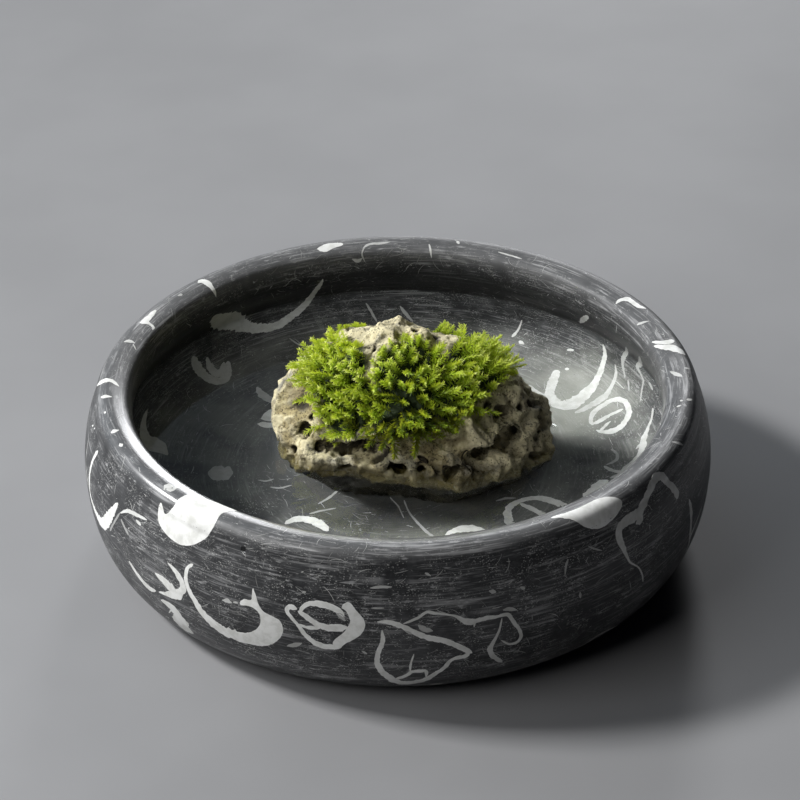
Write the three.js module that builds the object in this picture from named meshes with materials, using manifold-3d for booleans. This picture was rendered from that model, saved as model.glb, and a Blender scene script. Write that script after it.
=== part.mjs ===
// A shallow turned stone basin kept as a small water garden. The bowl is one block of dark limestone
// with a rolled lip over an undercut hollow. It holds still water, and a porous rock planted with
// tufts of moss stands in the water. Millimetres, +Z up, origin on the table at the turning axis.
import * as THREE from "three";
import { mergeVertices } from "three/addons/utils/BufferGeometryUtils.js";
import Module from "manifold-3d";

const wasm = await Module();
wasm.setup();

// Every piece keeps this clearance to the piece that it touches.
const CLEARANCE = 0.3;

// Basin, outside
const BELLY_RADIUS = 140;
const BELLY_HEIGHT = 42;
const RIM_HEIGHT = 76;
const SHOULDER_RUN = 13.5; // from the belly in to the crest of the lip
const SHOULDER_FULLNESS = 1.75;
const FOOT_INSET = 26; // from the belly in to the edge of the foot
const FLANK_FULLNESS = 2.4;
const FOOT_WIDTH = 26; // of the ground ring that the basin stands on
const FOOT_RECESS = 2;
const RECESS_BEVEL = 3;

// Basin, inside
const LIP_ROLL = 4.5; // from the crest in to the throat
const LIP_DROP = 16; // from the crest down to the throat
const LIP_FULLNESS = 2;
const UNDERCUT = 4; // from the throat out to the widest ring of the hollow
const UNDERCUT_DROP = 16;
const FLOOR_THICKNESS = 13;
const COVE_RUN = 34; // from the widest ring of the hollow in to its flat floor
const COVE_FULLNESS = 2.1;

const WATER_DEPTH = 33;

// Facets
const TURNED_SIDES = 64;
const FLANK_STEPS = 6;
const LIP_STEPS = 3;
const COVE_STEPS = 5;
const ROCK_SIDES = 44;
const ROCK_ROW = 6;

// The rock's rings from its bed up. Each has its height over the bed, its half length along X, its
// half depth along Y, and how far its centre lies from the basin's axis. Up to the waterline the rings
// share one centre and only widen, so the rock lifts straight out of the water.
const ROCK_RINGS = [
  { height: 0, length: 43, depth: 23, x: 7.5, y: -3.5 },
  { height: 14, length: 52, depth: 29, x: 7.5, y: -3.5 },
  { height: 26, length: 59.5, depth: 35, x: 7.5, y: -3.5 },
  { height: 33, length: 62, depth: 37.5, x: 7.5, y: -3.5 },
  { height: 40, length: 62, depth: 36, x: 7.5, y: -3 },
  { height: 49, length: 57.5, depth: 33, x: 6.5, y: -1.5 },
  { height: 57, length: 50, depth: 29.5, x: 4, y: 0.5 },
  { height: 65, length: 41, depth: 25, x: 1.5, y: 3 },
  { height: 72, length: 31, depth: 20, x: 0, y: 4 },
  { height: 78, length: 22.5, depth: 15, x: 0, y: 5 },
  { height: 82, length: 14.5, depth: 10, x: 0.5, y: 5 },
  { height: 85, length: 6, depth: 4.5, x: 0, y: 5 },
];
const ROCK_SHOULDER = 33; // height over the bed of the ring at the waterline, the widest one below it
const ROCK_TURN = -4.5; // degrees from +X to the rock's long axis
const ROCK_SQUARENESS = 2.3; // 2 is an ellipse
const ROCK_WAIST = 0.5; // the least share of its plain ring that the rough rock keeps

// Waves that roughen the rock: size, turns round it, climb per millimetre, start.
const ROCK_WAVES = [
  { size: 1.7, turns: 3, climb: 0.09, start: 1.1 },
  { size: 1.4, turns: 5, climb: -0.15, start: 0.4 },
  { size: 1.1, turns: 8, climb: 0.24, start: 2.2 },
  { size: 0.9, turns: 13, climb: -0.38, start: 4.0 },
];

// Knuckles stand out of the rock and saddles lie in it. Turn in degrees from +X, height over the bed,
// reach out of the rock, and spread across it.
const ROCK_KNUCKLES = [
  { turn: -10, height: 57, reach: 6.5, spread: 12 },
  { turn: 172, height: 57, reach: 4, spread: 11 },
  { turn: -150, height: 53, reach: 2.5, spread: 8 },
  { turn: -124, height: 52, reach: 3, spread: 8 },
  { turn: -94, height: 48, reach: 3, spread: 7 },
  { turn: -72, height: 46, reach: -2, spread: 8 },
  { turn: -70, height: 33, reach: 2, spread: 10 },
  { turn: -48, height: 54, reach: 3, spread: 8 },
  { turn: -20, height: 46, reach: -2.5, spread: 8 },
  { turn: 30, height: 52, reach: 2.5, spread: 10 },
  { turn: 75, height: 50, reach: 1.5, spread: 14 },
  { turn: 128, height: 55, reach: 3, spread: 10 },
];

// Hollows eaten into the rock above the water: turn, height over the bed, width, height and depth.
const ROCK_HOLLOWS = [
  { turn: -161, height: 46, wide: 10, high: 9.5, deep: 9 },
  { turn: -142, height: 43, wide: 19, high: 10, deep: 14 },
  { turn: -126, height: 44, wide: 20, high: 11.5, deep: 15 },
  { turn: -103, height: 37.6, wide: 11, high: 5.5, deep: 9 },
  { turn: -86, height: 38.4, wide: 8, high: 6, deep: 8 },
  { turn: -65, height: 38.6, wide: 9.5, high: 6.5, deep: 8 },
  { turn: -47, height: 43, wide: 18, high: 11.5, deep: 14 },
  { turn: -33, height: 45.5, wide: 19, high: 13, deep: 14 },
  { turn: -27, height: 55.5, wide: 9, high: 8, deep: 8 },
  { turn: -8, height: 44, wide: 13, high: 8, deep: 9 },
  { turn: 18, height: 49, wide: 12, high: 8, deep: 8 },
  { turn: 55, height: 47, wide: 16, high: 9, deep: 10 },
  { turn: 82, height: 41, wide: 13, high: 7, deep: 8 },
  { turn: 110, height: 49, wide: 15, high: 9, deep: 10 },
  { turn: 150, height: 47, wide: 13, high: 9, deep: 9 },
];

// Tufts of moss, each seated on the rock: turn, height over the bed, radius of its cushion, sprigs.
const MOSS_TUFTS = {
  moss_top: { turn: -80, height: 74, radius: 13, sprigs: 15 },
  moss_crown_left: { turn: 200, height: 69, radius: 14, sprigs: 15 },
  moss_crown_right: { turn: -14, height: 69, radius: 15, sprigs: 16 },
  moss_front: { turn: -97, height: 61, radius: 15, sprigs: 15 },
  moss_front_left: { turn: -137, height: 61, radius: 14, sprigs: 15 },
  moss_front_right: { turn: -48, height: 62, radius: 15, sprigs: 16 },
  moss_left: { turn: 172, height: 69, radius: 11, sprigs: 11 },
  moss_right: { turn: 8, height: 67, radius: 12, sprigs: 12 },
  moss_back_left: { turn: 132, height: 68, radius: 13, sprigs: 13 },
  moss_back_right: { turn: 48, height: 66, radius: 14, sprigs: 14 },
  moss_low_front: { turn: -73, height: 55, radius: 11, sprigs: 12 },
};
const TUFT_RISE = 0.3; // height of a cushion for each unit of its radius
const SPRIG_LENGTH = 15;
const SPRIG_WIDTH = 5.2;
const SPRIG_THICKNESS = 2.6;
const SPRIG_SIDES = 4;
const SPRIG_STEPS = 2;
const SPRIG_LIFT = 3; // how far a sprig's tip bends upwards
const SPRIG_SPREAD = 74; // degrees that the outermost sprig of a tuft leans
const SPRIG_ROOTS = 0.5; // how far out the outermost sprig of a tuft starts, for each unit of its radius
const SPRIG_VARIETY = 0.2; // share by which sprigs are longer or shorter
const SPRIG_RHYTHM = 5; // radians from one sprig's length to the next one's
const SPRIG_START = 0.15; // share of a spindle's swelling that lies under the sprig's root
const TUFT_LEAN = 0.35; // from square to the rock at 0 to upright at 1
const CUSHION_SIDES = 10;
const GOLDEN_ANGLE = Math.PI * (3 - Math.sqrt(5));
const SLOPE_STEP = 0.02; // radians to each side of a place whose slope is taken
const HALF = 0.5;
const UP = new THREE.Vector3(0, 0, 1);
const ACROSS = new THREE.Vector3(0, 1, 0);

const CREST_RADIUS = BELLY_RADIUS - SHOULDER_RUN;
const THROAT_RADIUS = CREST_RADIUS - LIP_ROLL;
const THROAT_HEIGHT = RIM_HEIGHT - LIP_DROP;
const HOLLOW_RADIUS = THROAT_RADIUS + UNDERCUT;
const HOLLOW_HEIGHT = THROAT_HEIGHT - UNDERCUT_DROP;
const FOOT_RADIUS = BELLY_RADIUS - FOOT_INSET;
const WATER_LEVEL = FLOOR_THICKNESS + WATER_DEPTH;
const ROCK_BED = FLOOR_THICKNESS + CLEARANCE;
const ROCK_TOP = ROCK_RINGS.at(-1).height;

const STONE = new THREE.MeshStandardMaterial({ color: 0x2b2c2e, roughness: 0.45, metalness: 0 });
const TUFA = new THREE.MeshStandardMaterial({ color: 0x8c7f63, roughness: 0.95, metalness: 0 });
const MOSS = new THREE.MeshStandardMaterial({ color: 0x6f9a1e, roughness: 0.9, metalness: 0 });
const WATER = new THREE.MeshStandardMaterial({
  color: 0x5b6a70,
  roughness: 0.05,
  metalness: 0,
  transparent: true,
  opacity: 0.35,
});

function solidOf(geometry) {
  const bare = geometry.clone();
  bare.deleteAttribute("normal");
  bare.deleteAttribute("uv");
  const merged = mergeVertices(bare, 1e-3);
  return new wasm.Manifold(
    new wasm.Mesh({
      numProp: 3,
      vertProperties: merged.attributes.position.array,
      triVerts: new Uint32Array(merged.index.array),
    }),
  );
}

function meshOf(name, solid, material) {
  const { vertProperties, triVerts } = solid.getMesh();
  const geometry = new THREE.BufferGeometry();
  geometry.setAttribute("position", new THREE.BufferAttribute(vertProperties, 3));
  geometry.setIndex(new THREE.BufferAttribute(triVerts, 1));
  geometry.computeVertexNormals();
  const mesh = new THREE.Mesh(geometry, material);
  mesh.name = name;
  return mesh;
}

function largestBody(solid) {
  return solid.decompose().reduce((most, body) => (body.volume() > most.volume() ? body : most));
}

function movePoints(geometry, place) {
  const position = geometry.attributes.position;
  const point = new THREE.Vector3();
  for (let i = 0; i < position.count; i++) {
    place(point.fromBufferAttribute(position, i));
    position.setXYZ(i, point.x, point.y, point.z);
  }
  return geometry;
}

// A quarter turn of a superellipse about a corner, from straight out to straight up.
function quarter(corner, run, rise, fullness, steps) {
  return Array.from({ length: steps + 1 }, (_, i) => {
    const angle = ((i / steps) * Math.PI) / 2;
    return new THREE.Vector2(
      corner.x + run * Math.cos(angle) ** (2 / fullness),
      corner.y + rise * Math.sin(angle) ** (2 / fullness),
    );
  });
}

function footProfile() {
  const inner = FOOT_RADIUS - FOOT_WIDTH;
  return [
    new THREE.Vector2(0, FOOT_RECESS),
    new THREE.Vector2(inner - RECESS_BEVEL, FOOT_RECESS),
    new THREE.Vector2(inner, 0),
  ];
}

function outerProfile() {
  const foot = new THREE.Vector2(FOOT_RADIUS, BELLY_HEIGHT);
  const flank = quarter(foot, FOOT_INSET, -BELLY_HEIGHT, FLANK_FULLNESS, FLANK_STEPS).reverse();
  const crest = new THREE.Vector2(CREST_RADIUS, BELLY_HEIGHT);
  const rise = RIM_HEIGHT - BELLY_HEIGHT;
  const shoulder = quarter(crest, SHOULDER_RUN, rise, SHOULDER_FULLNESS, FLANK_STEPS);
  return [...flank, ...shoulder.slice(1)];
}

// Down the inside of the lip, out under it and round the cove to the floor.
function hollowProfile() {
  const crest = new THREE.Vector2(CREST_RADIUS, THROAT_HEIGHT);
  const lip = quarter(crest, -LIP_ROLL, LIP_DROP, LIP_FULLNESS, LIP_STEPS).reverse();
  const under = Array.from({ length: LIP_STEPS }, (_, i) => {
    const share = (i + 1) / LIP_STEPS;
    const swing = (1 - Math.cos(share * Math.PI)) / 2;
    return new THREE.Vector2(THROAT_RADIUS + UNDERCUT * swing, THROAT_HEIGHT - UNDERCUT_DROP * share);
  });
  const corner = new THREE.Vector2(HOLLOW_RADIUS - COVE_RUN, HOLLOW_HEIGHT);
  const drop = FLOOR_THICKNESS - HOLLOW_HEIGHT;
  const cove = quarter(corner, COVE_RUN, drop, COVE_FULLNESS, COVE_STEPS);
  return [...lip.slice(1), ...under, ...cove.slice(1)];
}

function turned(profile) {
  const geometry = new THREE.LatheGeometry(profile, TURNED_SIDES);
  return geometry.rotateX(Math.PI / 2);
}

function basin() {
  const floor = new THREE.Vector2(0, FLOOR_THICKNESS);
  return solidOf(turned([...footProfile(), ...outerProfile(), ...hollowProfile(), floor]));
}

// The hollow's profile up to a level, kept clear of the stone and closed along the axis.
function filledProfile(level) {
  const wall = hollowProfile()
    .map((point) => new THREE.Vector2(point.x - CLEARANCE, point.y + CLEARANCE))
    .reverse();
  const above = wall.findIndex((point) => point.y > level);
  const low = wall[above - 1];
  const high = wall[above];
  const edge = low.clone().lerp(high, (level - low.y) / (high.y - low.y));
  return [
    new THREE.Vector2(0, FLOOR_THICKNESS + CLEARANCE),
    ...wall.slice(0, above),
    edge,
    new THREE.Vector2(0, level),
  ];
}

function water() {
  return solidOf(turned(filledProfile(WATER_LEVEL))).subtract(rockBlock(CLEARANCE));
}

function ringAt(height) {
  const next = Math.max(1, ROCK_RINGS.findIndex((ring) => ring.height >= height));
  const [low, high] = [ROCK_RINGS[next - 1], ROCK_RINGS[next]];
  const share = (height - low.height) / (high.height - low.height);
  const mix = (key) => THREE.MathUtils.lerp(low[key], high[key], share);
  return { length: mix("length"), depth: mix("depth"), x: mix("x"), y: mix("y") };
}

// How far the rock swells past its plain ring at a turn in radians and a height over its bed.
function roughness(turn, height) {
  const level = Math.max(height, ROCK_SHOULDER);
  const waves = ROCK_WAVES.reduce(
    (sum, wave) => sum + wave.size * Math.sin(wave.turns * turn + wave.climb * level + wave.start),
    0,
  );
  const knuckles = ROCK_KNUCKLES.reduce((sum, knuckle) => {
    const around = Math.atan2(
      Math.sin(turn - THREE.MathUtils.degToRad(knuckle.turn)),
      Math.cos(turn - THREE.MathUtils.degToRad(knuckle.turn)),
    );
    const ring = ringAt(knuckle.height);
    const across = around * Math.hypot(ring.length * Math.cos(turn), ring.depth * Math.sin(turn));
    const up = level - knuckle.height;
    return sum + knuckle.reach * Math.exp(-(across ** 2 + up ** 2) / knuckle.spread ** 2);
  }, 0);
  return waves + knuckles;
}

// The radius of a plain ring at a turn from the rock's long axis.
function plainRadius(turn, { length, depth }) {
  const along = Math.abs(Math.cos(turn) / length) ** ROCK_SQUARENESS;
  const across = Math.abs(Math.sin(turn) / depth) ** ROCK_SQUARENESS;
  return (along + across) ** (-1 / ROCK_SQUARENESS);
}

function rockPoint(turn, height, swell = 0) {
  const ring = ringAt(height);
  const plain = plainRadius(turn - THREE.MathUtils.degToRad(ROCK_TURN), ring);
  const radius = Math.max(plain + roughness(turn, height), plain * ROCK_WAIST) + swell;
  const [x, y] = [ring.x + radius * Math.cos(turn), ring.y + radius * Math.sin(turn)];
  return new THREE.Vector3(x, y, ROCK_BED + height);
}

function rockNormal(turn, height) {
  const around = rockPoint(turn + SLOPE_STEP, height).sub(rockPoint(turn - SLOPE_STEP, height));
  const up = rockPoint(turn, height + 1).sub(rockPoint(turn, height - 1));
  return around.cross(up).normalize();
}

// The rock without its hollows, swollen by a clearance where one is asked for.
function rockBlock(swell = 0) {
  const rows = Math.ceil(ROCK_TOP / ROCK_ROW);
  const side = Array.from({ length: rows + 1 }, (_, i) => new THREE.Vector2(1, (ROCK_TOP * i) / rows));
  const profile = [new THREE.Vector2(0, 0), ...side, new THREE.Vector2(0, ROCK_TOP)];
  const block = new THREE.LatheGeometry(profile, ROCK_SIDES).rotateX(Math.PI / 2);
  return solidOf(
    movePoints(block, (point) => {
      const height = THREE.MathUtils.clamp(point.z, 0, ROCK_TOP);
      const onAxis = Math.hypot(point.x, point.y) < HALF;
      const ring = ringAt(height);
      if (onAxis) point.set(ring.x, ring.y, ROCK_BED + height);
      else point.copy(rockPoint(Math.atan2(point.y, point.x), height, swell));
      if (height > ROCK_SHOULDER) point.z += swell;
      if (height === 0) point.z -= swell;
    }),
  );
}

function rockHollow({ turn, height, wide, high, deep }) {
  const angle = THREE.MathUtils.degToRad(turn);
  const mouth = rockPoint(angle, height);
  const hollow = new THREE.IcosahedronGeometry(1, 1).scale(deep, wide / 2, high / 2).rotateZ(angle);
  return solidOf(hollow.translate(mouth.x, mouth.y, mouth.z));
}

function rock() {
  return rockBlock().subtract(wasm.Manifold.union(ROCK_HOLLOWS.map(rockHollow)));
}

function tuftFrame({ turn, height }) {
  const angle = THREE.MathUtils.degToRad(turn);
  const out = rockNormal(angle, height).lerp(UP, TUFT_LEAN).normalize();
  const facing = new THREE.Quaternion().setFromUnitVectors(UP, out);
  return new THREE.Matrix4().compose(rockPoint(angle, height), facing, new THREE.Vector3(1, 1, 1));
}

function cushion({ radius }, swell) {
  const wide = radius + swell;
  const ball = new THREE.SphereGeometry(1, CUSHION_SIDES, CUSHION_SIDES / 2).rotateX(Math.PI / 2);
  return ball.scale(wide, wide, radius * TUFT_RISE + swell);
}

// One leafy sprig: a flat spindle that grows out of the cushion and bends up towards its tip.
function sprig(tuft, index, frame, swell) {
  const share = (index + 0.5) / tuft.sprigs;
  const tilt = THREE.MathUtils.degToRad(SPRIG_SPREAD) * Math.sqrt(share);
  const heading = index * GOLDEN_ANGLE + THREE.MathUtils.degToRad(tuft.turn);
  const length = SPRIG_LENGTH * (1 + SPRIG_VARIETY * Math.sin(index * SPRIG_RHYTHM)) + swell;
  const wide = SPRIG_WIDTH / 2 + swell;
  const thick = SPRIG_THICKNESS / 2 + swell;
  const root = tuft.radius * SPRIG_ROOTS * Math.sqrt(share);
  const spindle = new THREE.ConeGeometry(1, length, SPRIG_SIDES, SPRIG_STEPS).rotateX(Math.PI / 2);
  return movePoints(spindle, (point) => {
    const along = point.z / length + 0.5;
    const swelling = Math.sin(Math.PI * THREE.MathUtils.lerp(SPRIG_START, 1, along));
    const full = along < 1 ? swelling / (1 - along) : 0;
    point.set(point.x * wide * full, point.y * thick * full, along * length).applyAxisAngle(ACROSS, tilt);
    point.setX(point.x + root).applyAxisAngle(UP, heading).applyMatrix4(frame);
    point.z += SPRIG_LIFT * along ** 2;
  });
}

function tuftSolid(tuft, swell = 0) {
  const frame = tuftFrame(tuft);
  const sprigs = Array.from({ length: tuft.sprigs }, (_, i) => solidOf(sprig(tuft, i, frame, swell)));
  return wasm.Manifold.union([solidOf(cushion(tuft, swell).applyMatrix4(frame)), ...sprigs]);
}

// Each tuft is trimmed to lie on the rock and against the tufts planted before it.
function mossTufts() {
  const planted = [rockBlock(CLEARANCE)];
  return Object.entries(MOSS_TUFTS).map(([name, tuft]) => {
    const trimmed = tuftSolid(tuft).subtract(wasm.Manifold.union(planted));
    planted.push(tuftSolid(tuft, CLEARANCE));
    return meshOf(name, largestBody(trimmed), MOSS);
  });
}

const planting = new THREE.Group();
planting.add(meshOf("rock", rock(), TUFA), ...mossTufts());

const garden = new THREE.Group();
garden.add(meshOf("basin", basin(), STONE), meshOf("water", water(), WATER), planting);

export default garden;
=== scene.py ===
import math
import random

import bpy
import numpy as np
from mathutils import Matrix, Vector, noise
from mathutils.bvhtree import BVHTree
from mathutils.geometry import delaunay_2d_cdt


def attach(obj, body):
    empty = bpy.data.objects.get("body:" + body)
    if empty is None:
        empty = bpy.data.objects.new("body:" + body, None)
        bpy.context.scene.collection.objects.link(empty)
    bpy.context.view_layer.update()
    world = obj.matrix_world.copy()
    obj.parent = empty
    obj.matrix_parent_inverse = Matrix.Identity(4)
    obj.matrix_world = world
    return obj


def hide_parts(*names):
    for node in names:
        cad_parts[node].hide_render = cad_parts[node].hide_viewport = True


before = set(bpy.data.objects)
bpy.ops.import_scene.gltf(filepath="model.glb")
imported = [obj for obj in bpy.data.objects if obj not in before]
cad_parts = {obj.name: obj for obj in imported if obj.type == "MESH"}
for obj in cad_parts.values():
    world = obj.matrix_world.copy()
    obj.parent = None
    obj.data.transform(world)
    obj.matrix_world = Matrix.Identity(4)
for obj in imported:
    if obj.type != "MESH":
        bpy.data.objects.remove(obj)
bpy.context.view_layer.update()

mm = 0.001
# Both kinds of chance are seeded, so that each run gives the same object
chance = random.Random(41)
noise.seed_set(12)
scene = bpy.context.scene
scene.view_settings.view_transform = "Standard"


# Shader maths reads as arithmetic: a Wire holds one output socket, and its operators add the nodes
class Wire:
    def __init__(self, tree, socket=None):
        self.tree = tree
        self.socket = socket

    def add(self, kind, settings=None, values=None, output=0):
        node = self.tree.nodes.new(kind)
        for name, value in (settings or {}).items():
            if name == "stops":
                ramp = node.color_ramp
                while len(ramp.elements) < len(value):
                    ramp.elements.new(0.5)
                for stop, (place, colour) in zip(ramp.elements, value):
                    stop.position = place
                    stop.color = (*colour, 1)
            else:
                setattr(node, name, value)
        for name, value in (values or {}).items():
            if isinstance(value, Wire):
                self.tree.links.new(value.socket, node.inputs[name])
            else:
                node.inputs[name].default_value = value
        return Wire(self.tree, node.outputs[output])

    def maths(self, operation, *terms):
        return self.add("ShaderNodeMath", {"operation": operation}, dict(enumerate(terms)))

    def __add__(self, other):
        return self.maths("ADD", self, other)

    __radd__ = __add__

    def __mul__(self, other):
        return self.maths("MULTIPLY", self, other)

    __rmul__ = __mul__

    def __sub__(self, other):
        return self.maths("SUBTRACT", self, other)

    def __rsub__(self, other):
        return self.maths("SUBTRACT", other, self)

    # 0 below low, 1 above high, smooth between; low may be the larger one
    def between(self, low, high):
        return self.add("ShaderNodeMapRange", {"interpolation_type": "SMOOTHSTEP"},
                        {"Value": self, "From Min": low, "From Max": high})

    def blended(self, first, second):
        return self.add("ShaderNodeMix", {"data_type": "RGBA"}, {0: self, 6: first, 7: second}, 2)

    def stretched(self, x, y, z):
        return self.add("ShaderNodeVectorMath", {"operation": "MULTIPLY"}, {0: self, 1: (x, y, z)})

    def cloud(self, scale, detail=3.0, roughness=0.5, **extra):
        return self.add("ShaderNodeTexNoise", {}, {"Vector": self, "Scale": scale, "Detail": detail,
                                                   "Roughness": roughness, **extra})

    def cells(self, scale):
        return self.add("ShaderNodeTexVoronoi", {}, {"Vector": self, "Scale": scale})

    # The place on the object, one of its axes (0, 1 or 2), or its distance from a spot
    def where(self):
        return self.add("ShaderNodeTexCoord", output=3)

    def axis(self, number):
        return self.add("ShaderNodeSeparateXYZ", {}, {"Vector": self}, number)

    def away(self, spot):
        return self.add("ShaderNodeVectorMath", {"operation": "DISTANCE"}, {0: self, 1: spot}, 1)

    def shifted(self, other):
        return self.add("ShaderNodeVectorMath", {"operation": "ADD"}, {0: self, 1: other})

    # A value that the mesh carries at its points
    def noted(self, name):
        return self.add("ShaderNodeAttribute", {"attribute_name": name}, output=2)

    def bump(self, strength, distance):
        return self.add("ShaderNodeBump", {}, {"Strength": strength, "Distance": distance, "Height": self})


def ink(red, green, blue):
    return (red, green, blue, 1)


# A material with its Principled shader: numbers go on the sockets, wires are linked
def finish(name, **sockets):
    material = bpy.data.materials.new(name)
    material.use_nodes = True
    shader = material.node_tree.nodes["Principled BSDF"]
    for socket, value in sockets.items():
        shader.inputs[socket.replace("_", " ")].default_value = value
    return material, Wire(material.node_tree), shader


def feed(shader, **wires):
    for socket, wire in wires.items():
        wire.tree.links.new(wire.socket, shader.inputs[socket.replace("_", " ")])


def piece(name, points, faces, material, body, replaced=(), smooth=True, sharp=None):
    mesh = bpy.data.meshes.new(name)
    mesh.from_pydata([tuple(p) for p in points], [], faces)
    mesh.polygons.foreach_set("use_smooth", [smooth] * len(mesh.polygons))
    if sharp:
        mesh.set_sharp_from_angle(angle=math.radians(sharp))
    mesh.materials.append(material)
    made = bpy.data.objects.new(name, mesh)
    scene.collection.objects.link(made)
    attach(made, body)
    if replaced:
        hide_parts(*replaced)
    return made


def note(made, name, values):
    made.data.attributes.new(name, "FLOAT", "POINT").data.foreach_set("value", np.asarray(values, np.float32))


# Camera at the photograph's place; its angles are in degrees
camera = {"lens": 108.05, "sensor": 36, "elevation": 33.516, "distance": 1081.6, "aim": 40.0,
          "yaw": 0.059, "pitch": 1.035, "roll": 0.594}


def setCamera():
    tilt = math.radians(camera["elevation"])
    away = camera["distance"]
    place = Vector((0, -away * math.cos(tilt), camera["aim"] + away * math.sin(tilt)))
    base = Matrix(((1, 0, 0), (0, math.sin(tilt), math.cos(tilt)), (0, math.cos(tilt), -math.sin(tilt))))
    yaw, pitch, roll = (math.radians(camera[key]) for key in ("yaw", "pitch", "roll"))
    turned = Matrix.Rotation(roll, 3, "Z") @ Matrix.Rotation(pitch, 3, "X")
    turned = turned @ Matrix.Rotation(-yaw, 3, "Y") @ base
    lens = bpy.data.cameras.new("photo_camera")
    lens.lens = camera["lens"]
    lens.sensor_width = camera["sensor"]
    lens.clip_end = 20
    eye = bpy.data.objects.new("photo_camera", lens)
    scene.collection.objects.link(eye)
    right, up, ahead = turned
    eye.matrix_world = Matrix.Translation(place * mm) @ Matrix((right, up, -ahead)).transposed().to_4x4()
    scene.camera = eye


setCamera()
print("camera set")

# The basin's turned line, in millimetres, as the frame has it, with the lip's roll made full: radius and
# height from the throat over the crest to the shoulder
basin = {"belly": 140, "bellyHeight": 42, "rimHeight": 76, "shoulderRun": 13.5, "shoulderFullness": 1.75,
         "footInset": 26, "flankFullness": 2.4, "footWidth": 26, "footRecess": 2, "recessBevel": 3,
         "lip": [(117.5, 62.0), (117.3, 64.5), (117.4, 68.0), (117.8, 71.0), (118.8, 73.3), (120.8, 74.6),
                 (123.4, 75.4), (126.2, 75.95), (129.0, 75.7), (131.2, 74.5), (132.8, 72.5), (133.9, 70.0),
                 (134.8, 67.3)],
         "hollow": 126, "hollowHeight": 44, "floor": 13, "coveRun": 34, "coveFullness": 2.1, "sides": 400,
         "unevenness": 0.22, "throatRun": -8, "dryFrom": 25}
waterLevel = 46.0

# The stone is wet a little higher than the water stands: dry above the first height, wet below the second
wetBelow = (0.0482, 0.0468)


def quarter(x, z, run, rise, fullness, steps=80):
    angle = np.linspace(0, math.pi / 2, steps + 1)
    power = 2 / fullness
    return np.stack([x + run * np.cos(angle) ** power, z + rise * np.sin(angle) ** power], 1)


# A smooth line through all but the first and last of some points, in pieces of so many steps
def smoothLine(points, steps):
    points = np.array(points, float)
    made = []
    for a, b, c, d, count in zip(points, points[1:], points[2:], points[3:], steps):
        t = np.linspace(0, 1, count, endpoint=False)[:, None]
        made.append(0.5 * (2 * b + (c - a) * t + (2 * a - 5 * b + 4 * c - d) * t * t
                           + (3 * b - a - 3 * c + d) * t ** 3))
    return np.vstack(made + [points[-2:-1]])


# One line from the middle of the hollow over the lip to the middle of the underside
def turnedLine():
    b = basin
    foot = b["belly"] - b["footInset"]
    lip = smoothLine(b["lip"], [6] * (len(b["lip"]) - 3))
    top = int(lip[:, 1].argmax())
    (throat, throatHeight), hollow, hollowHeight = lip[0], b["hollow"], b["hollowHeight"]
    share = np.linspace(0, 1, 30)
    under = np.stack([throat + (hollow - throat) * (1 - np.cos(share * math.pi)) / 2,
                      throatHeight + (hollowHeight - throatHeight) * share], 1)
    cove = quarter(hollow - b["coveRun"], hollowHeight, b["coveRun"], b["floor"] - hollowHeight,
                   b["coveFullness"])
    inside = np.vstack([[[0, b["floor"]]], cove[::-1], under[::-1][1:], lip[1:top + 1]])
    shoulder = quarter(b["belly"] - b["shoulderRun"], b["bellyHeight"], b["shoulderRun"],
                       b["rimHeight"] - b["bellyHeight"], b["shoulderFullness"])
    shoulder = np.vstack([shoulder[shoulder[:, 0] > lip[-1, 0] + 0.1], lip[top:][::-1]])
    flank = quarter(foot, b["bellyHeight"], b["footInset"], -b["bellyHeight"], b["flankFullness"])
    ring = foot - b["footWidth"]
    below = np.array([[ring, 0], [ring - b["recessBevel"], b["footRecess"]], [0, b["footRecess"]]])
    outside = np.vstack([shoulder[::-1][1:], flank[1:], below])
    line = np.vstack([inside, outside])
    run = np.concatenate([[0], np.cumsum(np.hypot(*np.diff(line, axis=0).T))])
    return run - run[len(inside) - 1], line


lineRun, line = turnedLine()
footRun = lineRun[-3]


# A place on the stone from its turn in degrees and its run in millimetres: 0 on the crest of the lip,
# less than 0 down the hollow and more down the flank. The stone is a touch uneven, always inwards.
def onStone(turn, run, lift=0.0):
    turn = np.radians(np.asarray(turn, float))
    run = np.asarray(run, float)
    radius, height = np.interp(run, lineRun, line[:, 0]), np.interp(run, lineRun, line[:, 1])
    step = 0.4
    outR = np.interp(run + step, lineRun, line[:, 0]) - np.interp(run - step, lineRun, line[:, 0])
    outZ = np.interp(run + step, lineRun, line[:, 1]) - np.interp(run - step, lineRun, line[:, 1])
    size = np.maximum(np.hypot(outR, outZ), 1e-9)
    wobble = (1 + np.sin(3 * turn + run / 23)) / 4 + (1 + np.sin(5 * turn - run / 31 + 2)) / 4
    fade = np.clip((footRun - 4 - run) / 12, 0, 1) * np.clip((radius - 12) / 30, 0, 1)
    depth = lift - basin["unevenness"] * wobble * fade
    radius, height = radius - outZ / size * depth, height + outR / size * depth
    return np.stack([radius * np.cos(turn), radius * np.sin(turn), height], -1)


# Four-sided faces between rings of points, each ring joined to the next
def ringFaces(rings, sides):
    corners = ((0, 0), (1, 0), (1, 1), (0, 1))
    return [tuple((ring + r) * sides + (side + s) % sides for r, s in corners)
            for ring in range(rings - 1) for side in range(sides)]


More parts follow.
